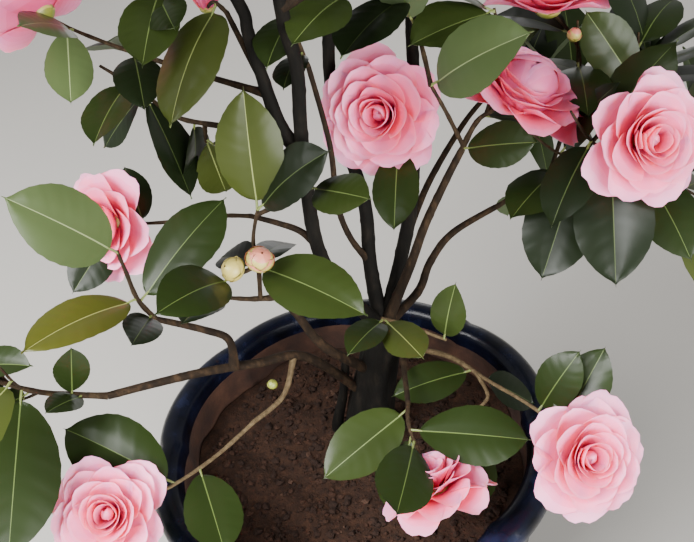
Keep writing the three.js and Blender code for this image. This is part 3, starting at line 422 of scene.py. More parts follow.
def grow_limbs():
    """Every limb's line and its radius at foot and tip, by name, in the order in which they fork."""
    limbs = {}
    trunk = [vec(*TRUNK["foot"], SOIL["top"] - 12), vec(19, 28, 268), vec(25, 31, 304), vec(36, 36, 346),
             vec(46, 41, 384)]
    limbs["trunk"] = limb(trunk, TRUNK["radius"], TRUNK["head_radius"])
    side = [vec(-14, 40, SOIL["top"] - 10), vec(-13, 40, 262), seen((343, 395, 36)), seen((346, 360, 30))]
    limbs["stem_side"] = limb(side, SIDE_STEM["radius"], SIDE_STEM["tip_radius"])
    for name, parent, foot, tip, points, *rest in STEMS + BOUGHS:
        places = [seen(p) for p in points] + [vec(*p) for p in (rest[0] if rest else [])]
        bearer = limbs[parent]["line"]
        start = bearer[np.argmin(np.linalg.norm(bearer - places[0], axis=1))]
        limbs[name] = limb([start, *places[1:]], foot, tip)
    ring = CROWN["ring"]
    for i in range(ring["count"]):
        angle = np.radians(ring["from"] + 360 / ring["count"] * i)
        out = vec(np.cos(angle), np.sin(angle), 0)
        target = vec(*CROWN["middle"], ring["foot"] + ring["rise"]) + out * ring["reach"]
        height = ring["foot"] + ring["stagger"] * (i % 3)
        feet = [foot_at_height(limbs[name]["line"], height) for name in CROWN["foot_near"]]
        foot = min(feet, key=lambda p: np.linalg.norm(p - target))
        middle = (foot + target) / 2 - UP * ring["sag"] * ring["rise"]
        limbs[f"bough_crown_{i + 1}"] = limb([foot, middle, target], CROWN["foot_radius"],
                                             CROWN["tip_radius"], out=out)
    return limbs


def foot_at_height(line, z):
    """The first place at which a rising line passes a height."""
    return line[np.argmax(line[:, 2] >= z)]


def leaf_at(base, tip, up, tint, near=False):
    """One leaf: foot, tip, the way its upper side faces, its tint's name, and if it is seen near by."""
    return {"base": base, "tip": tip, "up": unit(up), "tint": tint, "near": near}


def leaves_round(line, count, roll, tint, size=1.0, first_share=LEAF_RULE["from"]):
    """Leaves at the golden angle round a twig, towards its tip, each drooping a little."""
    first = 360 * roll()
    leaves = []
    for i in range(count):
        t = first_share + (1 - first_share) * (i + LEAF_RULE["step_in"]) / count
        place, heading = along(line, t)
        sideways = turned(*rib(heading), np.radians(first) + GOLDEN * i)
        degrees = LEAF_RULE["spread"] - LEAF_RULE["less_at_tip"] * t + LEAF_RULE["spread_varies"] * roll()
        way = spread_from(heading, sideways, np.radians(degrees))
        way = unit(way - UP * LEAF["droop"] * roll())
        length = LEAF["length"] * (LEAF_RULE["least"] + LEAF_RULE["varies"] * roll()) * size
        up = UP + heading * LEAF_RULE["forward"] + sideways * LEAF["tilt"] * (roll() - 0.5)
        leaves.append(leaf_at(place, place + way * length, up, tint))
    return leaves


def middle_of(leaf):
    """The place halfway between a leaf's foot and its tip."""
    return (leaf["base"] + leaf["tip"]) / 2


def bloom_at(place, face, size=1.0, open_share=1.0, shut=BLOOM["shut"]):
    """One bloom: its middle, the way it faces, its size, how open it is, and the share of its petals that
    close over the heart."""
    return {"place": place, "face": face, "size": size, "open": open_share, "shut": shut}


def bloom_seen(at, face, *more):
    """A seen bloom, whose middle lies a little behind the place seen at its heart."""
    way = unit(vec(*face))
    return bloom_at(seen(at) - way * BLOOM["heart"] * BLOOM["radius"], way, *more)


def hides_bloom(leaf, blooms):
    """True for a leaf whose widest part would hang between the viewer and a bloom, or stick in it."""
    belly = leaf["base"] * (1 - LEAF["belly"]) + leaf["tip"] * LEAF["belly"]
    to_leaf = belly - SIGHT["eye"]
    for bloom in blooms:
        to_bloom = bloom["place"] - SIGHT["eye"]
        far = np.linalg.norm(to_bloom)
        angle = np.arccos(np.clip(unit(to_leaf) @ unit(to_bloom), -1, 1))
        before = np.linalg.norm(to_leaf) < far and angle * far < BLOOM["radius"]
        if before or np.linalg.norm(belly - bloom["place"]) < BLOOM["apart"] * BLOOM["radius"]:
            return True
    return False


def hangs_in_open(leaf):
    """True for a leaf whose tip or middle is seen in one of the open rounds."""
    return is_in_open(leaf["tip"]) or is_in_open(middle_of(leaf))


def is_crowded(leaf, middles):
    """True for a leaf whose middle lies nearer than it should to that of another leaf, or a bloom's."""
    return any(np.linalg.norm(middle_of(leaf) - m) < LEAF_RULE["apart_mm"] for m in middles)


def deal_tint(roll):
    """A tint for one spray: mostly the two dark greens, now and then a lighter one."""
    share = roll()
    return next(tint for tint, upto in TINT_SHARES if share <= upto)


def leaf_up(base, lean, facing):
    """The way that the upper side of a seen leaf faces: so far right and up from the viewer, or if that
    isn't given, up and a little to the viewer, with a lean to one side."""
    if facing is None:
        return UP - SIGHT["ahead"] * LEAF["to_viewer"] + SIGHT["across"] * lean
    return unit(SIGHT["eye"] - base) + SIGHT["across"] * facing[0] + SIGHT["above"] * facing[1]


def grow_seen(name, seed):
    """The twigs, leaves and blooms of a mass that is seen, as its list of shoots says."""
    bough, shoots = SHOOTS[name]
    roll, paint = dice(seed), dice(seed + SEEDS["tints"])
    mass = {"name": name, "twigs": [], "leaves": [], "blooms": [], "filling": []}
    for s in shoots:
        at_tip = s["start"] is TIP
        if at_tip:
            start = limbs[bough]["line"][-1]
        else:
            start = along(mass["twigs"][s["start"][0]]["line"], s["start"][1])[0]
        bloom = bloom_seen(*s["bloom"]) if s["bloom"] else None
        ends = [bloom["place"] - bloom["face"] * bloom["size"] * BLOOM_SEAT] if bloom else []
        line = through([start, *[seen(p) for p in s["points"]], *ends], TWIG_STEPS)
        foot = limbs[bough]["tip"] if at_tip else TWIG["foot"]
        mass["twigs"].append({"line": line, "foot": foot, "tip": TWIG["tip"]})
        for out in s["leaves"]:
            base = along(line, out["at"])[0]
            up = leaf_up(base, LEAF["lean"] * (roll() - 0.5), out["facing"])
            mass["leaves"].append(leaf_at(base, leaf_tip(base, *out["tip"]), up, out["tint"], True))
        if bloom:
            mass["blooms"].append(bloom)
        mass["filling"] += leaves_round(line, s["more"], roll, deal_tint(paint))
    return mass


def fill_in(mass, blooms):
    """Adds those leaves of the common rule that hide no bloom, crowd none, and don't hang in open air."""
    for leaf in mass["filling"]:
        middles = [middle_of(f) for f in mass["leaves"]]
        if not (hangs_in_open(leaf) or hides_bloom(leaf, blooms) or is_crowded(leaf, middles)):
            mass["leaves"].append(leaf)


def last_heading(line):
    """The way that a limb's line heads at its tip, over its last four steps."""
    return unit(line[-1] - line[-5])


def grow_crown(name, bough, size, heading, seed):
    """A mass of the crown: shoots round one stem at the golden angle, each with leaves set the same way."""
    roll, paint = dice(seed), dice(seed + SEEDS["tints"])
    line = limbs[bough]["line"]
    start = line[-1]
    top = start + heading * size * CROWN_STEM["reach"] + UP * size * CROWN_STEM["rise"]
    bend = (start + top) / 2 + last_heading(line) * CROWN_STEM["bend_mm"]
    stem = through([start, bend, top], TWIG_STEPS)
    middle = start + heading * size * CROWN_STEM["middle_out"] + UP * size * CROWN_STEM["middle_up"]
    radius, tip_radius = TWIG["crown_stem"]
    mass = {"name": name, "middle": middle, "size": size, "leaves": [], "blooms": [],
            "twigs": [{"line": stem, "foot": radius, "tip": tip_radius}]}
    side, other = rib(unit(stem[9] - stem[3]))  # square to the stem halfway up
    rule = CROWN_SHOOT
    for k in range(CROWN["shoots"]):
        t = rule["from"] + rule["over"] * k / (CROWN["shoots"] - 1)
        turn = GOLDEN * k + np.radians(rule["turn"] * roll())
        spread = np.radians(rule["spread"] - rule["less_at_top"] * t + rule["spread_varies"] * roll())
        length = size * (rule["length"] - rule["shorter_at_top"] * t)
        length = length * (rule["least"] + rule["varies"] * roll())
        way = spread_from(heading, turned(side, other, turn), spread)
        foot = along(stem, t)[0]
        bend = foot + way * length * 0.5 - UP * rule["sag"] * length
        tip = foot + way * length + UP * rule["rise"] * length
        line = through([foot, bend, tip], TWIG_STEPS)
        flowers = roll() < CROWN["bloom_share"]
        leaves = leaves_round(line, CROWN["leaves"], roll, deal_tint(paint))
        if not (is_unseen(bend) and is_unseen(tip)):
            continue
        mass["twigs"].append({"line": line, "foot": TWIG["foot"] * TWIG["crown_share"], "tip": TWIG["tip"]})
        mass["leaves"] += leaves
        if flowers:
            face = unit(way + UP * BLOOM["upward"])
            open_share = BLOOM["least_open"] + (1 - BLOOM["least_open"]) * paint()
            mass["blooms"].append(bloom_at(line[-1] + face * BLOOM_SEAT, face, 1.0, open_share))
    mass["leaves"] += leaves_round(stem, CROWN["stem_leaves"], roll, deal_tint(paint))
    return mass


def keeps_to_space(p, own, masses):
    """True if p is nearer, for its size, to this mass's middle than to any other's."""
    shares = {m["name"]: np.linalg.norm(p - m["middle"]) / m["size"] for m in masses}
    mine = shares.pop(own["name"])
    return mine < CROWN["reach"] and mine < min(shares.values())


def trim_to_space(mass, masses):
    """Drops the leaves and blooms of the crown that would be seen or would leave their mass's space."""
    def fits(p):
        return is_unseen(p) and keeps_to_space(p, mass, masses)

    mass["leaves"] = [f for f in mass["leaves"] if fits(f["tip"]) and fits(middle_of(f))]
    mass["blooms"] = [b for b in mass["blooms"]
                      if fits(b["place"]) and is_unseen(b["place"], BLOOM["radius"])]


def inside_node(name, points):
    """True if all the points lie in a frame node's box."""
    low, high = (np.array(c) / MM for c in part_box(name))
    p = np.array(points)
    return bool(((p > low) & (p < high)).all())


def finer_branch(line, k, roll):
    """The line of side twig k on a twig's line: it sags a little, then rises, and is shorter near the tip."""
    t = FINER["from"] + FINER["over"] * (k + roll()) / FINER["twigs"]
    place, heading = along(line, t)
    sideways = turned(*rib(heading), GOLDEN * k + 6.3 * roll())
    way = spread_from(heading, sideways, np.radians(FINER["spread"] + FINER["spread_varies"] * roll()))
    reach = np.linalg.norm(line[-1] - line[0]) * FINER["length"]
    length = reach * (1 - FINER["less_at_tip"] * t) * (FINER["least"] + FINER["varies"] * roll())
    bend = place + way * length * 0.5 - UP * FINER["sag"]
    return through([place, bend, place + way * length + UP * FINER["rise"]], TWIG_STEPS)


def grow_finer(mass, seed, hidden):
    """Side twigs with leaves of their own on each shoot, where there is room inside the plain solid's box.

    In the crown (hidden) nothing may come into view, and among what is seen nothing may cover a bloom.
    """
    roll = dice(seed)
    middles = [middle_of(f) for f in mass["leaves"]] + [b["place"] for b in mass["blooms"]]
    for twig in list(mass["twigs"]):
        for k in range(FINER["twigs"]):
            branch = finer_branch(twig["line"], k, roll)
            tint = deal_tint(roll)
            leaves = leaves_round(branch, FINER["leaves"], roll, tint, FINER["leaf_size"],
                                  FINER["first_leaf"])
            if not inside_node(mass["name"], branch):
                continue
            if hidden and not all(is_unseen(p) for p in branch[::3]):
                continue
            kept = []
            for leaf in leaves:
                if hidden:
                    seemly = is_unseen(leaf["tip"])
                else:
                    seemly = not (hangs_in_open(leaf) or hides_bloom(leaf, seen_blooms))
                free = seemly and not is_crowded(leaf, middles)
                if free and inside_node(mass["name"], [leaf["tip"], middle_of(leaf)]):
                    kept.append(leaf)
                    middles.append(middle_of(leaf))
            if kept:
                mass["twigs"].append({"line": branch, "foot": twig["tip"], "tip": TWIG["finer_tip"]})
                mass["leaves"] += kept


limbs = grow_limbs()
seen_masses = [grow_seen(name, SEEDS["seen"] + i) for i, name in enumerate(SHOOTS)]
seen_blooms = [bloom for mass in seen_masses for bloom in mass["blooms"]]
for mass in seen_masses:
    fill_in(mass, seen_blooms)


def crown_list():
    """Name, bough, size and heading of each mass in the crown: the stems' tops first, then the ring."""
    rows = []
    for bough, size in CROWN["tops"]:
        heading = unit(last_heading(limbs[bough]["line"]) + UP * CROWN_STEM["upward"])
        rows.append((bough.replace("stem", "foliage_top"), bough, size, heading))
    for i in range(CROWN["ring"]["count"]):
        bough = f"bough_crown_{i + 1}"
        heading = unit(limbs[bough]["out"] + UP * CROWN["lift"])
        rows.append((f"foliage_crown_{i + 1}", bough, CROWN["ring"]["size"], heading))
    return rows


crown_masses = [grow_crown(*row, SEEDS["crown"] + i) for i, row in enumerate(crown_list())]
for mass in crown_masses:
    trim_to_space(mass, crown_masses)
for i, mass in enumerate(crown_masses):
    grow_finer(mass, SEEDS["finer_crown"] + i, True)
for i, mass in enumerate(m for m in seen_masses if m["name"] in DENSE):
    grow_finer(mass, SEEDS["finer_seen"] + i, False)
masses = seen_masses + crown_masses


def linear(hex_colour):
    """An sRGB hex colour as linear red, green, blue and full alpha."""
    s = np.array([int(hex_colour[i:i + 2], 16) for i in (1, 3, 5)]) / 255
    low = s <= 0.04045
    return (*np.where(low, s / 12.92, ((s + 0.055) / 1.055) ** 2.4), 1.0)


def node(tree, kind, settings=None, **links):
    """Adds a node to a material's tree: its settings by attribute or socket name, and its links by socket."""
    made = tree.nodes.new(kind)
    for key, value in (settings or {}).items():
        if key in made.inputs:
            made.inputs[key].default_value = value
        else:
            setattr(made, key, value)
    for key, source in links.items():
        tree.links.new(source, made.inputs[key.replace("_", " ")])
    return made


def material(name, shader):
    """A material whose surface is one Principled shader, with the settings given by socket name."""
    mat = bpy.data.materials.new(name)
    mat.use_nodes = True
    mat.node_tree.nodes.clear()
    surface = node(mat.node_tree, "ShaderNodeBsdfPrincipled", shader)
    out = node(mat.node_tree, "ShaderNodeOutputMaterial")
    mat.node_tree.links.new(surface.outputs[0], out.inputs[0])
    return mat, mat.node_tree, surface


def colour_ramp(tree, factor, stops):
    """A blend of hex colours along a factor, each at its place from 0 to 1."""
    ramp = node(tree, "ShaderNodeValToRGB")
    points = ramp.color_ramp.elements
    while len(points) < len(stops):
        points.new(0.5)
    for point, (place, colour) in zip(points, stops):
        point.position = place
        point.color = linear(colour)
    tree.links.new(factor, ramp.inputs[0])
    return ramp.outputs[0]


def noise(tree, size_mm, detail=4, rough=0.55, stretch=(1, 1, 1)):
    """Cloudy noise on the object's own coordinates, with lumps about so many millimetres wide."""
    place = node(tree, "ShaderNodeTexCoord").outputs["Object"]
    scaled = node(tree, "ShaderNodeMapping", {"Scale": stretch}, Vector=place).outputs[0]
    settings = {"Scale": 1 / (size_mm * MM), "Detail": detail, "Roughness": rough}
    return node(tree, "ShaderNodeTexNoise", settings, Vector=scaled).outputs[0]


def add_bump(tree, surface, height, depth_mm, strength=1.0):
    """Makes a height into bump on a shader, with so many millimetres between its low and high places."""
    bump = node(tree, "ShaderNodeBump", {"Strength": strength, "Distance": depth_mm * MM}, Height=height)
    tree.links.new(bump.outputs[0], surface.inputs["Normal"])


def grained(name, shader, tones, cloud, grain, depth_mm):
    """A material with a cloudy blend of tones and a fine bump, each from a noise given by its settings."""
    mat, tree, surface = material(name, shader)
    tone = colour_ramp(tree, noise(tree, *cloud), tones)
    tree.links.new(tone, surface.inputs["Base Color"])
    add_bump(tree, surface, noise(tree, *grain), depth_mm)
    return mat


def cobalt_glaze():
    """Glazed stoneware, dipped and fired: a thick blue-black glass, mottled, worn brown where it ran thin."""
    shader = {"Roughness": 0.26, "Specular IOR Level": 0.22}
    mat, tree, surface = material("cobalt_glaze_on_stoneware", shader)
    tone = colour_ramp(tree, noise(tree, 26), [(0.32, "#04050a"), (0.55, "#0a0d1b"), (0.75, "#181e36")])
    thin = colour_ramp(tree, noise(tree, 9, 6, 0.7), [(0.62, "#000000"), (0.74, "#ffffff")])
    mixed = node(tree, "ShaderNodeMix", {"data_type": "RGBA"})
    tree.links.new(thin, mixed.inputs["Factor"])
    tree.links.new(tone, mixed.inputs[6])
    mixed.inputs[7].default_value = linear("#1d1210")
    tree.links.new(mixed.outputs[2], surface.inputs["Base Color"])
    add_bump(tree, surface, noise(tree, 14, 3), 0.9, 0.5)
    return mat


def fired_clay():
    """Unglazed fired clay, thrown and left bare inside: matt, red-brown, stained dark by wet soil."""
    tones = [(0.3, "#1e100a"), (0.55, "#3a2216"), (0.75, "#553726")]
    return grained("bare_fired_clay", {"Roughness": 0.85}, tones, (30, 6), (3, 4), 0.5)


def damp_soil(name, tones):
    """Damp loam with crumbs: matt, its grains drawn coarse enough to show."""
    shader = {"Roughness": 0.92, "Specular IOR Level": 0.3}
    return grained(name, shader, tones, (7, 6, 0.7), (2.2, 5), 1.2)


def bark(name, tones, grain_mm):
    """Bark, grown along the limb: matt and dark, with a fine lengthwise grain and paler scurf."""
    shader = {"Roughness": 0.85, "Specular IOR Level": 0.15}
    cloud, grain = (grain_mm * 3, 6, 0.65, (1, 1, 0.35)), (grain_mm, 5, 0.6, (1, 1, 0.3))
    return grained(name, shader, tones, cloud, grain, 0.8)


def plain(name, colour, roughness, **more):
    """A living surface of one colour, such as one tone of a petal or one side of a leaf."""
    shader = {"Base Color": linear(colour), "Roughness": roughness}
    shader.update({key.replace("_", " "): value for key, value in more.items()})
    return material(name, shader)[0]


def place_mesh(name, points, faces, slots, materials):
    """Makes a piece from points in millimetres and arrays of faces, each with its material's number."""
    mesh = bpy.data.meshes.new(name)
    corners = np.concatenate([f.ravel() for f in faces]).astype(np.int32)
    sizes = np.concatenate([np.full(len(f), f.shape[1]) for f in faces])
    mesh.vertices.add(len(points))
    mesh.vertices.foreach_set("co", (np.asarray(points) * MM).astype(np.float32).ravel())
    mesh.loops.add(len(corners))
    mesh.loops.foreach_set("vertex_index", corners)
    mesh.polygons.add(len(sizes))
    mesh.polygons.foreach_set("loop_start", (np.cumsum(sizes) - sizes).astype(np.int32))
    mesh.polygons.foreach_set("material_index", np.concatenate(slots).astype(np.int32))
    mesh.update(calc_edges=True)
    mesh.shade_smooth()
    mesh.set_sharp_from_angle(angle=np.radians(55))
    piece = bpy.data.objects.new(name, mesh)
    bpy.context.collection.objects.link(piece)
    for mat in materials:
        mesh.materials.append(mat)
    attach(piece, "root")
    return piece


def grid_faces(rows, columns, wrap=False):
    """Four-sided faces of a grid of points, row by row, closed round the columns if it wraps."""
    r, c = np.meshgrid(np.arange(rows - 1), np.arange(columns if wrap else columns - 1), indexing="ij")
    here = r * columns + c
    beside = r * columns + (c + 1) % columns
    return np.stack([here, beside, beside + columns, here + columns], -1).reshape(-1, 4)


def other_side(rows, columns):
    """The faces of the other side of a grid of points, and the points that it has for itself: all but those
    of the edge, which both sides share."""
    count = rows * columns
    r, c = np.divmod(np.arange(count), columns)
    edge = (r == 0) | (r == rows - 1) | (c == 0) | (c == columns - 1)
    copies = np.where(edge, np.arange(count), np.cumsum(~edge) - 1 + count)
    return copies[grid_faces(rows, columns)][:, [0, 3, 2, 1]], np.flatnonzero(~edge)


def repeated(faces, count, stride):
    """The faces of one shape, repeated for so many copies whose points follow each other."""
    return (faces[None] + (np.arange(count) * stride)[:, None, None]).reshape(-1, faces.shape[1])


def carried_frames(paths):
    """Two directions square to each path at each of its points, carried along it without twist."""
    ahead = unit(np.gradient(paths, axis=1))
    side = np.where(np.abs(ahead[:, :1, 2:]) < 0.9, UP, vec(1, 0, 0))[:, 0]
    sides = []
    for k in range(paths.shape[1]):
        side = unit(side - ahead[:, k] * (side * ahead[:, k]).sum(1, keepdims=True))
        sides.append(side)
    sides = np.stack(sides, 1)
    return sides, np.cross(ahead, sides)


def tubes(paths, radii, sides):
    """Closed tubes along paths: at each point a ring of so many corners at the path's radius there.

    paths is (tubes, points, 3). radii is (tubes, points) or, for an uneven tube, (tubes, points, sides).
    """
    count, steps = paths.shape[:2]
    across, other = carried_frames(paths)
    turn = np.arange(sides) / sides * 2 * np.pi
    ring = across[:, :, None] * np.cos(turn)[:, None] + other[:, :, None] * np.sin(turn)[:, None]
    radii = radii[..., None] if radii.ndim == 2 else radii
    points = paths[:, :, None] + ring * radii[..., None]
    wall = repeated(grid_faces(steps, sides, True), count, steps * sides)
    ends = np.stack([np.arange(sides)[::-1], np.arange(sides) + (steps - 1) * sides])
    return points.reshape(-1, 3), wall, repeated(ends, count, steps * sides)


def lobe(angle):
    """The share of the pot's full radius at an angle: it dips to a notch between two of its lobes."""
    turn = np.abs(np.sin(POT["lobes"] / 2 * (angle - np.radians(POT["notch_at"]))))
    return 1 - POT["lobe_depth"] * (1 - np.sqrt(turn + POT["notch_round"]))


def inner_radius(z):
    """The inner radius of the pot's wall at a height, on a lobe's crest: it widens with a power of the share
    of the way from the pot's ground up to the soil's top."""
    share = np.maximum(0, (z - POT["ground"]) / (SOIL["top"] - POT["ground"]))
    return between(POT["inner_foot"], POT["inner_top"], share ** POT["inner_power"])


def pot_piece():
    """The pot: a smoothed profile turned about its axis.

    The profile holds radius and height, outside from the foot up and over the rim, then inside down to the
    ground. The radius is pulled in at the notches by the lobes' share, raised to a power that grows from 0
    near the foot to 1, and a slow wave three times round shows the maker's hand.
    """
    rim, top, ground, hub = (POT[key] for key in ("rim", "height", "ground", "hub"))
    outer = [(hub, 0), (60, 0), (112, 0), (117, 1), (121, 6), (125, 18), (133, 42), (154, 105), (164, 160),
             (170, 210), (172, 240), (173, 256), (rim - 11, top - 34), (rim - 3, top - 25), (rim, top - 17),
             (rim - 1, top - 9), (rim - 6, top - 3), (rim - 13, top), (rim - 19, top), (rim - 24, top - 3),
             (rim - 27, top - 9)]
    wall = [(inner_radius(z), z) for z in (262, 240, 190, 120, 60, 30)]
    inner = [(rim - 28, top - 18), (rim - 28, top - 26), *wall, (112, ground + 1), (hub, ground + 0.6)]
    profile = through([(r, 0, z) for r, z in outer + inner], POT["profile_steps"])
    turn = np.linspace(0, 2 * np.pi, POT["columns"], endpoint=False)
    height = np.maximum(profile[:, 2:], 0)
    lobed = smooth((height - POT["plain_below"]) / POT["lobed_over"])
    reach = profile[:, :1] * lobe(turn)[None] ** lobed
    hand = POT["unevenness"] * np.sin(3 * turn + height / 40) * smooth(height / 80)
    radius = reach + hand * (profile[:, :1] > POT["true_within"])
    height = np.broadcast_to(height, radius.shape)
    points = np.stack([radius * np.cos(turn), radius * np.sin(turn), height], -1)
    under = np.arange(len(turn))[None, ::-1]
    floor = np.arange(len(turn))[None] + (len(profile) - 1) * len(turn)
    faces = [grid_faces(len(profile), len(turn), True), under, floor]
    bare = np.arange(len(profile) - 1) >= len(outer) * POT["profile_steps"]
    slots = [np.repeat(bare.astype(int), len(turn)), [0], [1]]
    piece = place_mesh("pot_glazed", points.reshape(-1, 3), faces, slots, [cobalt_glaze(), fired_clay()])
    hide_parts("pot")


def soil_height(x, y):
    """The soil's crumbly top: slow crossing waves that fade out round the stems' feet, and finer waves whose
    phases wander, so that they look like no pattern."""
    waves = np.sin(x / 17 + 1.3) * np.cos(y / 14) + 0.6 * np.sin((x + y) / 9.5)
    away = np.hypot(x - TRUNK["foot"][0], y - TRUNK["foot"][1])
    clear = smooth((away - SOIL["level_within"]) / SOIL["level_over"])
    fine = np.sin(x / 3.1 + 2 * np.sin(y / 5)) * np.sin(y / 2.7 + np.sin(x / 4))
    return SOIL["top"] + SOIL["lumps"] * waves * clear + SOIL["fine"] * fine


def soil_piece():
    """The soil: a round field of heights out to the pot's wall, with a few thousand loose crumbs on it."""
    ring = np.concatenate([np.linspace(0.01, 0.97, SOIL["rings"]), [1.0, 1.0]])
    turn = np.linspace(0, 2 * np.pi, SOIL["columns"], endpoint=False)
    wall = (inner_radius(SOIL["top"]) - SOIL["gap"]) * lobe(turn)
    x, y = ring[:, None] * wall * np.cos(turn), ring[:, None] * wall * np.sin(turn)
    z = soil_height(x, y)
    z[-1] = SOIL["top"] - SOIL["depth"]
    points = np.stack([x, y, z], -1).reshape(-1, 3)
    top = grid_faces(len(ring), len(turn), True)[:, ::-1]
    heart = np.arange(len(turn))[None]
    base = heart[:, ::-1] + (len(ring) - 1) * len(turn)
    loam = [damp_soil("damp_loam", [(0.25, "#160b06"), (0.5, "#2a180d"), (0.75, "#402819")])]
    piece = place_mesh("soil_bed", points, [top, heart, base], [np.zeros(len(top) + 2, int)], loam)
    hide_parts("soil")
    shades = [damp_soil("loam_crumbs_dark", [(0.3, "#1b0f09"), (0.7, "#2c1b12")]),
              damp_soil("loam_crumbs_red", [(0.3, "#25150d"), (0.7, "#3a2418")]),
              damp_soil("loam_crumbs_pale", [(0.3, "#35231a"), (0.7, "#4d372a")])]
    piece = place_mesh("soil_crumbs", *crumb_points(CRUMBS["count"]), shades)


def crumb_points(count):
    """Crumbs: closed six-sided grains strewn over the soil, half sunk in it.

    Each is a coarse ball, flattened, each point of it at a radius of its own. They lie as densely at the
    wall as in the middle, because they lie as far out as the root of a random share says. Most are small:
    the size goes with the fifth power of a random share.
    """
    rng = np.random.default_rng(SEEDS["crumbs"])
    reach = CRUMBS["reach"] * np.sqrt(rng.random(count))
    turn = rng.random(count) * 2 * np.pi
    reach *= lobe(turn) * (0.99 - 0.02 * rng.random(count))
    x, y = reach * np.cos(turn), reach * np.sin(turn)
    size = CRUMBS["least"] + CRUMBS["spread"] * rng.random(count) ** 5
    rows, columns = len(CRUMBS["rows"]), CRUMBS["columns"]
    v = np.array(CRUMBS["rows"])[:, None] * np.pi
    h = np.arange(columns)[None] / columns * 2 * np.pi
    ball = np.stack([np.sin(v) * np.cos(h), np.sin(v) * np.sin(h), np.cos(v) * np.ones_like(h)], -1)
    ball = ball.reshape(-1, 3)
    lumps = CRUMBS["hollow"] + CRUMBS["lumpy"] * rng.random((count, len(ball), 1))
    points = ball[None] * lumps * size[:, None, None] * np.array([1, 1, CRUMBS["flat"]])
    points += np.stack([x, y, soil_height(x, y) + CRUMBS["raised"] * size], -1)[:, None]
    wall = grid_faces(rows, columns, True)[:, ::-1]
    ends = np.stack([np.arange(columns), np.arange(columns)[::-1] + (rows - 1) * columns])
    shade = np.digitize(rng.random(count), CRUMBS["shades"])
    faces = [repeated(part, count, len(ball)) for part in (wall, ends)]
    return points.reshape(-1, 3), faces, [np.repeat(shade, len(part)) for part in (wall, ends)]


def run_along(line):
    """How far along a line each of its points lies."""
    return np.concatenate([[0], np.cumsum(np.linalg.norm(np.diff(line, axis=0), axis=1))])


def limb_tube(name):
    """One limb's tube.

    It tapers evenly. The trunk flares towards the soil by a falling exponential of height, more on its root
    ribs than between them, and any other limb swells at its fork by one of the run. Two sets of ridges wind
    slowly round it, as sines of the turn, and rings of old leaf scars come at even steps of the run.
    """
    limb, sides = limbs[name], LIMB_SIDES[name.split("_")[0]]
    count = max(BARK["least_points"], int(run_along(limb["line"])[-1] / BARK["step"]))
    line = evenly(limb["line"], count)
    run = run_along(line)[:, None]
    radius = between(limb["foot"], limb["tip"], run / run[-1])
    turn = np.arange(sides) / sides * 2 * np.pi
    start = sum(map(ord, name))
    if name == "trunk":
        height = np.maximum(0, line[:, 2:] - SOIL["top"])
        ribs = 1 + ROOT_RIBS["depth"] * np.cos(ROOT_RIBS["count"] * turn)
        radius = radius + TRUNK["flare"] * np.exp(-height / TRUNK["flare_height"]) * ribs
    else:
        radius = radius * (1 + BARK["fork_swell"] * np.exp(-run / (3 * limb["foot"])))
    ridges = BARK["ridges"] * np.sin(5 * turn + 2.2 * np.sin(run / 31 + start))
    ridges = ridges + BARK["fine_ridges"] * np.sin(9 * turn - run / 19)
    from_scar = (run / BARK["scars_apart"] + start) % 1 - 0.5
    scars = BARK["scars"] * np.exp(-from_scar**2 / 0.012) * (0.6 + 0.4 * np.cos(turn - run / 5))
    radius = radius * (1 + ridges + scars * (limb["foot"] < BARK["scarred_below"]))
    return tubes(line[None], radius[None], sides)


def joined_tubes(parts):
    """Several tubes' points and faces as one: walls and ends, each shifted past the points before it."""
    points, faces, shift = [], [], 0
    for p, wall, ends in parts:
        points.append(p)
        faces += [wall + shift, ends + shift]
        shift += len(p)
    return np.concatenate(points), faces


# Boughs and masses whose bark is buff.
PALE_BARK = ("bough_pot_left", "bough_pot_right", "foliage_pot_left", "foliage_pot_right",
             "foliage_low_centre")


def pale_bark():
    """Bark of a thin bough that has lost its green of late: buff, matt, with a faint grain."""
    return bark("camellia_bark_pale", [(0.25, "#392e1e"), (0.5, "#564833"), (0.78, "#756549")], 1.4)


def bark_pieces():
    """The bark of the trunk and stems, and of the boughs: one tube for each limb, sunk in what bears it."""
    # The trunk's and stems' bark: a dark bark taken almost to black by painted shade from the crown over it.
    old = bark("camellia_bark_dark_painted_shade", [(0.25, "#040302"), (0.5, "#0b0906"), (0.78, "#1e1913")], 3.2)
    young = bark("camellia_bark_young", [(0.25, "#0f0a06"), (0.5, "#1f160d"), (0.78, "#403020")], 2.2)
    kinds = {"trunk_and_stems": ("trunk", "stem_"), "boughs": ("bough_",)}
    for piece_name, heads in kinds.items():
        names = [name for name in limbs if name.startswith(heads)]
        parts = [limb_tube(name) for name in names]
        points, faces = joined_tubes(parts)
        stems = piece_name == "trunk_and_stems"
        kind = [int(name in PALE_BARK) for name in names]
        slots = [np.repeat(k, len(f)) for k, part in zip(kind, parts) for f in part[1:]]
        barks = [old] if stems else [young, pale_bark()]
        piece = place_mesh("bark_" + piece_name, points, faces, slots, barks)
        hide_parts(*names)


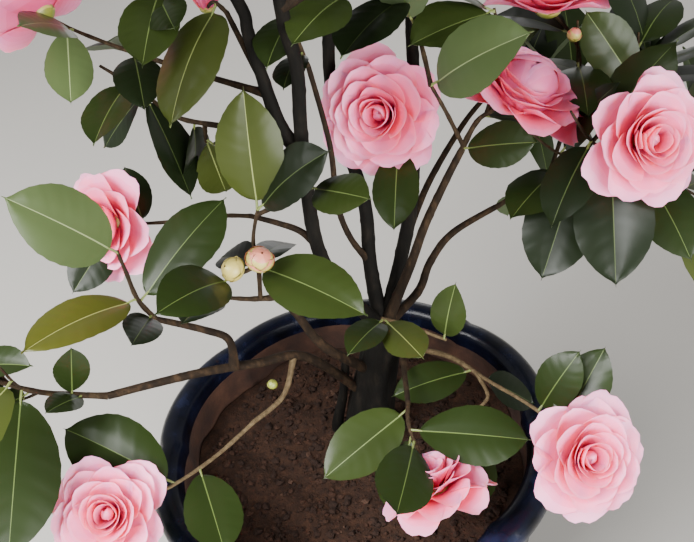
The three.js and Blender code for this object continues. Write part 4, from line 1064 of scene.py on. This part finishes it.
def twig_piece():
    """All the twigs that bear leaves: slim tubes that swell a little at their joints."""
    young = bark("camellia_twig_bark", [(0.25, "#18110a"), (0.5, "#2d2216"), (0.78, "#4f402b")], 1.6)
    twigs = [twig for mass in masses for twig in mass["twigs"]]
    kind = np.array([int(mass["name"] in PALE_BARK) for mass in masses for _ in mass["twigs"]])
    paths = np.stack([evenly(twig["line"], TWIG["points"]) for twig in twigs])
    foot, tip = (np.array([twig[key] for twig in twigs])[:, None] for key in ("foot", "tip"))
    joints = 1 + TWIG["joint"] * (np.arange(TWIG["points"]) % 3 == 0)
    radii = between(foot, tip, np.linspace(0, 1, TWIG["points"])) * joints * TWIG["slim"]
    points, wall, ends = tubes(paths, radii, TWIG["sides"])
    slots = [np.repeat(kind, len(wall) // len(kind)), np.repeat(kind, 2)]
    piece = place_mesh("twigs", points, [wall, ends], slots, [young, pale_bark()])
    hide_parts(*[m["name"] for m in masses])


# A leaf's blade: its outline's and its relief's measures, and how much single leaves vary from them.
BLADE = {"slant": 0.15, "widest": 0.46, "widest_varies": 0.1, "blunt": 0.58, "pointed": 0.2,
         "drawn_tip": 0.06, "tooth": 0.018, "wide": 0.95, "wide_varies": 0.12, "rib_mm": 0.6, "veins": 7,
         "arch": 0.045, "arch_varies": 0.06, "fold": 0.04, "fold_varies": 0.24, "flatten": 0.004,
         "flatten_varies": 0.006, "swell": 0.014, "groove_mm": 0.5, "wave": 0.05, "twist": 0.25,
         "thick_mm": 0.4}
STALK = {"share": 0.075, "reach": 1.4, "bow": 0.4, "radii": (1.25, 1.0, 0.95, 0.7), "sides": 6}
FINE_LEAF = {  # the grid of a leaf that stands out
    "rows": np.concatenate([[0, 0.012, 0.035, 0.07], np.linspace(0.11, 0.93, 19), [0.96, 0.985, 1]]),
    "across": np.array([1, 0.84, 0.56, 0.28, 0]),
}
PLAIN_LEAF = {  # the grid of the leaves of the common rule
    "rows": np.array([0, 0.03, 0.1, 0.24, 0.4, 0.56, 0.72, 0.86, 0.96, 1]),
    "across": np.array([1, 0.5, 0]),
}


def leaf_grid(kind):
    """A leaf's grid: shares along and across it, and the faces of its upper and lower sides.

    Both halves of the blade have the same shares across, with the midrib's strip between them. The two
    sides share the points of the edge, so the leaf is closed.
    """
    rows, out = kind["rows"], kind["across"]
    half = len(out)
    columns = 2 * half
    across = np.concatenate([out, out[::-1]])
    hand = np.repeat([-1, 1], half)
    upper = grid_faces(len(rows), columns)
    lower, inner = other_side(len(rows), columns)
    midrib = np.arange(len(upper)) % (columns - 1) == half - 1
    return {"rows": rows, "across": across, "hand": hand, "upper": upper, "slots": midrib.astype(int),
            "lower": lower, "under_slots": np.where(midrib, 1, 2), "inner": inner}


def leaf_points(leaves, grid, seed):
    """The points of many leaves at once.

    Half-width rises and falls again as a power of share times what is left of it, with a short drawn-out
    tip and a finely toothed edge. A point lies so far along the leaf's axis, so far aside, and at a height
    that is the sum of an arch, a fold along the midrib, swellings between the side veins, and a slow wave
    of the edge. The side veins slant forward from the midrib.
    """
    rng = np.random.default_rng(seed)
    count, blade, stalk = len(leaves), BLADE, STALK["share"]
    base, tip, up = (np.array([leaf[key] for leaf in leaves]) for key in ("base", "tip", "up"))
    length = np.linalg.norm(tip - base, axis=1)[:, None, None]
    axis = unit(tip - base)
    side = unit(np.cross(axis, up))
    face = np.cross(side, axis)
    vary = rng.random((7, count, 1, 1))
    across = grid["across"][None, None]
    rows = grid["rows"][None, :, None]
    s = rows + blade["slant"] * across**1.2 * np.sin(np.pi * rows) ** 0.8
    widest = blade["widest"] + blade["widest_varies"] * vary[6]
    body = np.clip(s / 0.96, 0, 1) ** (np.log(0.5) / np.log(widest))
    half = (4 * body * (1 - body)) ** (blade["blunt"] + blade["pointed"] * smooth((body - 0.5) / 0.4))
    half = half + blade["drawn_tip"] * smooth((s - 0.75) / 0.15) * np.sqrt(np.clip(1 - s, 0, 1))
    tooth = 1 - blade["tooth"] * (np.arange(len(grid["rows"])) % 2)[None, :, None] * (across > 0.95)
    width = length * LEAF["width"] * (blade["wide"] + blade["wide_varies"] * vary[0]) / 2
    rib_half = np.clip(width * half * 0.5, 0.05, blade["rib_mm"] * (1 - 0.7 * s))
    aside = grid["hand"] * (rib_half + (width * half * tooth - rib_half) * across)
    ahead = length * (stalk + (1 - stalk) * s)
    arch = length * (blade["arch"] + blade["arch_varies"] * (vary[1] - 0.4)) * 4 * s * (1 - s)
    fold = (blade["fold"] + blade["fold_varies"] * vary[2]) * np.abs(aside)
    fold = fold - (blade["flatten"] + blade["flatten_varies"] * vary[3]) * aside**2
    ripple = np.cos(2 * np.pi * (blade["veins"] + 1) * rows)
    swell = -blade["swell"] * width * ripple * across * (1.2 - across) * 2.2
    groove = -blade["groove_mm"] * (across < 0.05) * smooth(20 * s)
    wave = blade["wave"] * width * across**2 * np.sin(8 * s + 6.3 * vary[4] + grid["hand"])
    twist = blade["twist"] * (vary[5] - 0.5) * aside * s
    height = arch + fold + swell + groove + wave + twist
    upper = (base[:, None, None] + axis[:, None, None] * ahead[..., None]
             + side[:, None, None] * aside[..., None] + face[:, None, None] * height[..., None])
    upper = upper.reshape(count, -1, 3)
    lower = upper[:, grid["inner"]] - face[:, None] * blade["thick_mm"]
    return np.concatenate([upper, lower], 1)


LEAF_TONES = {  # upper side, midrib, under side
    "dark": ("#131b0c", "#3f4c25", "#404c30"),
    "deep": ("#1f2a10", "#50602f", "#4c583a"),
    "mid": ("#2a3515", "#5d6c3a", "#525e3d"),
    "olive": ("#373f19", "#7b844b", "#666f44"),
    "pale": ("#485633", "#849163", "#6d7853"),
    "young": ("#404215", "#82834a", "#6c6b3e"),
}
LEAF_LIMIT = 200_000  # the triangles that one piece stays under


def leaf_pieces():
    """The leaves, joined by tint: each has a glossy upper side, a pale midrib and a matt under side."""
    mats = {tint: [plain(f"camellia_leaf_{tint}_waxy", upper, 0.32, Specular_IOR_Level=0.2),
                   plain(f"camellia_leaf_{tint}_midrib", midrib, 0.45, Specular_IOR_Level=0.38),
                   plain(f"camellia_leaf_{tint}_under", under, 0.6, Specular_IOR_Level=0.3)]
            for tint, (upper, midrib, under) in LEAF_TONES.items()}
    for place, kind in (("near", FINE_LEAF), ("spray", PLAIN_LEAF)):
        grid = leaf_grid(kind)
        group = [leaf for mass in masses for leaf in mass["leaves"] if leaf["near"] == (place == "near")]
        most = LEAF_LIMIT // (4 * len(grid["upper"]))
        for tint in LEAF_TONES:
            own = [leaf for leaf in group if leaf["tint"] == tint]
            for part, start in enumerate(range(0, len(own), most)):
                some = own[start:start + most]
                points = leaf_points(some, grid, SEEDS["leaves"] + part)
                stride = points.shape[1]
                faces = [repeated(grid[side], len(some), stride) for side in ("upper", "lower")]
                slots = [np.tile(grid[side], len(some)) for side in ("slots", "under_slots")]
                piece = place_mesh(f"leaves_{place}_{tint}_{part + 1}", points.reshape(-1, 3), faces, slots,
                                   mats[tint])


def stalk_piece():
    """The leaves' stalks: short tubes from the twig to where each blade starts, a little bowed."""
    leaves = [leaf for mass in masses for leaf in mass["leaves"]]
    base, tip = (np.array([leaf[key] for leaf in leaves])[:, None] for key in ("base", "tip"))
    end, radii = STALK["share"] * STALK["reach"], np.array(STALK["radii"])
    t = np.linspace(0, end, len(radii))[None, :, None]
    paths = base + (tip - base) * t + UP * STALK["bow"] * np.sin(np.pi * t / end)
    radii = np.broadcast_to(radii, (len(leaves), len(radii)))
    points, wall, ends = tubes(paths, radii, STALK["sides"])
    piece = place_mesh("leaf_stalks", points, [wall, ends], [np.zeros(len(wall) + len(ends), int)],
                       [plain("camellia_leaf_stalk", "#6f7a41", 0.5)])


PETALS = 34  # in one double bloom
# Measures of a petal in the heart and outside: its length and width, how steeply it leaves, how far it bends,
# where its foot stands out from and up along the axis, and the radius that it is curled to.
PETAL = {"length": (18, 48), "width": (20, 46), "steep": (24, 66), "bend": (-64, 34), "out": (2.2, 5.7),
         "up": (-12, 1), "curl": (5, 41)}
# The petals that close over the heart, as shells: the same measures, how far they sink, how large all of
# them are at the least and by their share of the petals, and how much smaller the innermost is.
SHELL = {"across": 62, "steep": 80, "bend": -178, "out": 5, "curl": 23, "up": 9, "sink": 22,
         "least": 0.04, "grows": 2.29, "nested": 0.4}
# A petal's outline and relief: its rounded top with a notch, its narrow foot, and the waves along its edge.
PETAL_SHAPE = {"round": 0.3, "round_power": 2.2, "notch": 0.05, "notch_wide": 0.16, "foot": 0.32,
               "widens": 0.68, "full_at": 0.72, "most_curl": 1.5, "wave": 0.8, "wave_grows": 1.3,
               "ripples": 4.2, "level": 0.4, "thick_mm": 0.5}
PETAL_TONES = ("#f04a79", "#f35786", "#f76592", "#fa739d", "#fd80a8", "#ff8eb3")  # throat to edge
# Which tone a place on a petal has: the tones to the edge, less in the heart, more in the innermost petals.
# The deeper pink towards each petal's foot and in the heart is partly the bloom's own colour, partly painted
# shade.
PETAL_SHADING = {"throat": 0.6, "to_edge": 5.4, "in_heart": 0.9, "innermost": 0.8, "innermost_share": 0.12}
# Buds: seen place, the way each points, radius, height, scales, and ripeness: 0 green, 1 cream, 2 blushing.
BUDS = [
    ((239, 272, -30), (-0.45, -0.35, 0.7), 8.2, 17, 9, 1),
    ((258, 265, -27), (0.3, -0.3, 0.8), 9.2, 18, 9, 2),
    ((272, 386, -18), (0.2, -0.3, 0.8), 4.0, 8.5, 6, 0),
    ((572, 40, 80), (0.2, -0.3, 0.9), 5, 12, 7, 2),
]
CALYX = {"behind": 2, "radius": 9.5, "height": 15, "scales": 7, "ripeness": 1}
# A bud's scales: the innermost few are whole, up to the tip and more than halfway round. The rest are
# shorter, narrower and rounded above. Each lies a little farther out than the last.
SCALE = {"whole": 3, "whole_turn": 1.9, "turn": 1.3, "shorter": 0.6, "round": 0.25, "round_power": 2.5,
         "lap": 0.028, "lap_grows": 0.9, "foot": 0.08, "inner": (0.96, 0.96, 0.995), "bands": (0.45, 0.86)}


def petal_grid():
    """A petal's grid: shares across (-1 to 1) and along. Its two sides share the points of the edge."""
    a = np.linspace(-1, 1, 9)
    b = np.array([0, 0.16, 0.34, 0.52, 0.68, 0.82, 0.93, 1.0])
    back, inner = other_side(len(b), len(a))
    mid_b = (b[:-1] + b[1:])[:, None] / 2 * np.ones(len(a) - 1)
    return {"a": a, "b": b, "front": grid_faces(len(b), len(a)), "back": back, "inner": inner,
            "reach": mid_b.ravel()}


def petal_measures(q, vary, open_share, shut):
    """Each petal's length, width, first steepness, bend, foot out and up, and curl, by its share q outwards.

    A measure goes from the heart's to the outside's with a power of q, and an open bloom's petals are less
    steep. The petals before the shut share are shells as wide as they are long. They bulge out and close
    over the heart, one within another, and all the larger the more of them there are.
    """
    opened = (between(*PETAL["length"], q**0.8) * (1 + 0.1 * vary[1]),
              between(*PETAL["width"], q**0.6) * (1 + 0.14 * vary[2]),
              np.radians(between(*PETAL["steep"], q) * open_share + 7 * vary[3]),
              np.radians(between(*PETAL["bend"], q**0.55 * open_share) + 16 * vary[4]),
              between(*PETAL["out"], q), between(*PETAL["up"], (1 - q) ** 1.3), between(*PETAL["curl"], q))
    core = min(1, SHELL["least"] + SHELL["grows"] * shut)
    nested = core * (1 - SHELL["nested"] * (1 - q / shut))
    shells = (SHELL["across"] * nested, SHELL["across"] * nested, np.radians(SHELL["steep"]),
              np.radians(SHELL["bend"]), SHELL["out"] * nested, SHELL["up"] - SHELL["sink"] * core,
              SHELL["curl"] * nested)
    return [np.where(q < shut, shell, petal) for shell, petal in zip(shells, opened)]


def bloom_points(grid, bloom, seed):
    """The petals of one bloom, and each petal's share from the heart (0) to the outside (1).

    The petals stand at the golden angle round the axis. Each is a strip that leaves the heart at one
    steepness and ends at another, so it runs along an arc: its run is the length times the difference of the
    steepness's cosines over the bend, and its rise that of the sines. It is bent round an upright axis,
    tightly in the heart and hardly at all outside. Its top edge is round with a shallow notch, and it waves.
    """
    rng = np.random.default_rng(seed)
    q = ((np.arange(PETALS) + 0.5) / PETALS)[:, None, None]
    vary = rng.random((5, PETALS, 1, 1)) - 0.5
    turn = (np.arange(PETALS) * GOLDEN)[:, None, None] + 0.5 * vary[0]
    measures = petal_measures(q, vary, bloom["open"], bloom["shut"])
    length, width, first, bend, foot_out, foot_up, curl = measures
    bend = np.where(np.abs(bend) < 0.02, 0.02, bend)
    a, b, shape = grid["a"][None, None], grid["b"][None, :, None], PETAL_SHAPE
    rounded = shape["round"] * np.abs(a) ** shape["round_power"] * b
    share = b * (1 - rounded - shape["notch"] * np.exp(-((a / shape["notch_wide"]) ** 2)) * b * q)
    steep = first + bend * share
    run = foot_out + length * (np.cos(first) - np.cos(steep)) / bend
    rise = foot_up + length * (np.sin(steep) - np.sin(first)) / bend
    widening = np.sin(np.pi / 2 * np.minimum(1, share / shape["full_at"]))
    half = width / 2 * (shape["foot"] + shape["widens"] * widening)
    arc = np.clip(a * half / curl, -shape["most_curl"], shape["most_curl"])
    aside, inward = curl * np.sin(arc), curl * (1 - np.cos(arc))
    wave = (shape["wave"] + shape["wave_grows"] * q) * share**2
    inward = inward + wave * np.sin(shape["ripples"] * a + 20 * vary[0]) * (shape["level"] + np.abs(a))
    out = run - np.cos(steep) * inward
    high = rise + np.sin(steep) * inward
    cos, sin = np.cos(turn), np.sin(turn)
    front = np.stack([out * cos - aside * sin, out * sin + aside * cos, high], -1).reshape(PETALS, -1, 3)
    under = np.stack([np.cos(steep) * cos, np.cos(steep) * sin, -np.sin(steep)], -1).reshape(PETALS, -1, 3)
    back = front[:, grid["inner"]] + shape["thick_mm"] * under[:, grid["inner"]]
    side, other = rib(bloom["face"])
    spin = rng.random() * 6.3
    axes = np.stack([turned(side, other, spin), turned(side, other, spin + np.pi / 2), bloom["face"]])
    if np.linalg.det(axes) < 0:
        axes[1] *= -1
    return bloom["place"] + np.concatenate([front, back], 1) * bloom["size"] @ axes, q.ravel()


def bloom_pieces():
    """The petals of all the blooms, in two pieces: deep pink in the throat, pale at the edges; the deep pink
    is partly painted shade.
    """
    grid = petal_grid()
    mats = [plain(f"camellia_petal_{i + 1}", colour, 0.5, Subsurface_Weight=0.5, Subsurface_Scale=0.006)
            for i, colour in enumerate(PETAL_TONES)]
    shading = PETAL_SHADING
    # Deeper towards each petal's foot: partly the bloom's own colour, partly painted shade where the petals
    # overlap.
    edgewards = shading["throat"] + shading["to_edge"] * grid["reach"][None] ** 1.1
    for name, group in (("petals_low", seen_masses), ("petals_crown", crown_masses)):
        blooms = [bloom for mass in group for bloom in mass["blooms"]]
        clouds, tones = [], []
        for i, bloom in enumerate(blooms):
            points, q = bloom_points(grid, bloom, SEEDS["petals"] + i)
            clouds.append(points)
            q = q[:, None]
            inner = shading["innermost"] * (q < shading["innermost_share"])
            # Deeper in the heart's petals: partly the bloom's own colour, partly painted shade where the
            # heart lies deep.
            tone = edgewards - shading["in_heart"] * (1 - q) + inner
            tones.append(np.clip(tone, 0, len(PETAL_TONES) - 0.01).astype(int))
        points = np.concatenate(clouds)
        tones = np.concatenate(tones)
        count, stride = points.shape[:2]
        faces = [repeated(grid[part][:, ::-1], count, stride) for part in ("front", "back")]
        slots = [tones.ravel(), np.maximum(tones - 1, 0).ravel()]
        piece = place_mesh(name, points.reshape(-1, 3), faces, slots, mats)


def bud_points(grid, place, face, radius, height, scales):
    """A bud: scales at the golden angle, lapping like tiles over a bulb that draws in to a blunt tip.

    Each scale is a strip from the bulb's foot up to its own height, wide below and rounded above. The bulb's
    radius at share v of its height is a power of the sine of pi times v, and each scale lies a little farther
    out than the one within it.
    """
    k = np.arange(scales)[:, None, None]
    a, b = grid["a"][None, None], grid["b"][None, :, None]
    whole, last_whole = k < SCALE["whole"], SCALE["whole"] - 1
    top = 1 - SCALE["shorter"] * np.maximum(0, (k - last_whole) / (scales - last_whole)) ** 1.2
    dip = np.where(whole, 0, SCALE["round"])
    v = np.clip(top * b * (1 - dip * np.abs(a) ** SCALE["round_power"] * b), 0.01, 0.998)
    spread = np.where(whole, SCALE["whole_turn"], SCALE["turn"] * np.sqrt(np.clip(1.02 - b**3, 0, 1)))
    angle = k * GOLDEN + a * spread
    lap = SCALE["lap"] * radius * (1 + SCALE["lap_grows"] * k) * smooth(6 * v)
    r = radius * np.sin(np.pi * v**1.1) ** 0.6 + lap
    high = height * (v - SCALE["foot"])
    local = np.stack([r * np.cos(angle), r * np.sin(angle), high], -1).reshape(scales, -1, 3)
    inner = local[:, grid["inner"]] * SCALE["inner"]
    side, other = rib(face)
    return place + np.concatenate([local, inner], 1) @ np.stack([side, -other, face])


def bud_piece():
    """Buds: two fat ones by the bare shoot, small ones low down and on top, and a calyx behind each bloom."""
    grid = petal_grid()
    buds = [(seen(at), *rest) for at, *rest in BUDS]
    for bloom in (bloom for mass in masses for bloom in mass["blooms"]):
        face, size = bloom["face"], bloom["size"]
        seat = bloom["place"] - face * size * (BLOOM["back"] * BLOOM["radius"] + CALYX["behind"])
        buds.append((seat, face, CALYX["radius"] * size, CALYX["height"] * size, CALYX["scales"],
                     CALYX["ripeness"]))
    points, faces, slots, shift = [], [], [], 0
    for place, face, radius, height, scales, ripeness in buds:
        cloud = bud_points(grid, place, unit(vec(*face)), radius, height, scales)
        stride = cloud.shape[1]
        points.append(cloud.reshape(-1, 3))
        faces += [repeated(grid[side], scales, stride) + shift for side in ("front", "back")]
        band = np.digitize(grid["reach"], SCALE["bands"])
        slots += [np.tile(np.minimum(band, ripeness), 2 * scales)]
        shift += scales * stride
    mats = [plain("bud_scale_green", "#7f8434", 0.42), plain("bud_scale_cream", "#b1a257", 0.4),
            plain("bud_scale_blush", "#c67c66", 0.42)]
    piece = place_mesh("buds_and_calyxes", np.concatenate(points), faces, slots, mats)


# The studio, in metres and watts: its floor, the light all round, and each lamp's place, size and power.
FLOOR = {"corners": [(-4, -4), (4, -4), (4, 6), (-4, 6)], "height": -0.0006, "colour": "#9f9c97"}
DAYLIGHT = {"colour": "#f0efed", "strength": 0.56}
LAMPS = {
    "key": ((-1.5, -0.9, 2.3), 1.9, 285),
    "fill": ((1.2, -2.4, 0.7), 2.2, 250),
    "back": ((0.3, 2.6, 0.15), 1.6, 12),
}
LIT = (0, 0, 0.55)  # the place that the lamps point at


def stage_and_light():
    """A plain pale floor, an even light from all sides, and broad soft lamps."""
    floor = bpy.data.meshes.new("studio_floor")
    floor.from_pydata([(x, y, FLOOR["height"]) for x, y in FLOOR["corners"]], [], [(0, 1, 2, 3)])
    ground = bpy.data.objects.new("studio_floor", floor)
    floor.materials.append(plain("studio_floor_paint", FLOOR["colour"], 0.8))
    bpy.context.collection.objects.link(ground)
    world = bpy.data.worlds.new("studio")
    bpy.context.scene.world = world
    world.use_nodes = True
    background = world.node_tree.nodes["Background"]
    background.inputs["Color"].default_value = linear(DAYLIGHT["colour"])
    background.inputs["Strength"].default_value = DAYLIGHT["strength"]
    for name, (place, size, power) in LAMPS.items():
        lamp = bpy.data.lights.new(name, "AREA")
        lamp.size = size
        lamp.energy = power
        holder = bpy.data.objects.new(name, lamp)
        holder.location = place
        holder.rotation_euler = Vector(vec(*LIT) - vec(*place)).to_track_quat("-Z", "Y").to_euler()
        bpy.context.collection.objects.link(holder)


def camera():
    """The camera at the place from which the plant is seen, with the view's pitch, roll and focal length."""
    lens = bpy.data.cameras.new("camera")
    lens.sensor_width = SENSOR
    lens.lens = SENSOR * VIEW["focal"] / (2 * VIEW["middle"][0])
    lens.clip_start = 0.01
    holder = bpy.data.objects.new("camera", lens)
    axes = np.stack([SIGHT["across"], SIGHT["above"], -SIGHT["ahead"]], 1)
    turn = Matrix(axes.tolist()).to_4x4()
    turn.translation = SIGHT["eye"] * MM
    holder.matrix_world = turn
    bpy.context.collection.objects.link(holder)
    bpy.context.scene.camera = holder


pot_piece()
soil_piece()
bark_pieces()
twig_piece()
leaf_pieces()
stalk_piece()
bloom_pieces()
bud_piece()
stage_and_light()
camera()
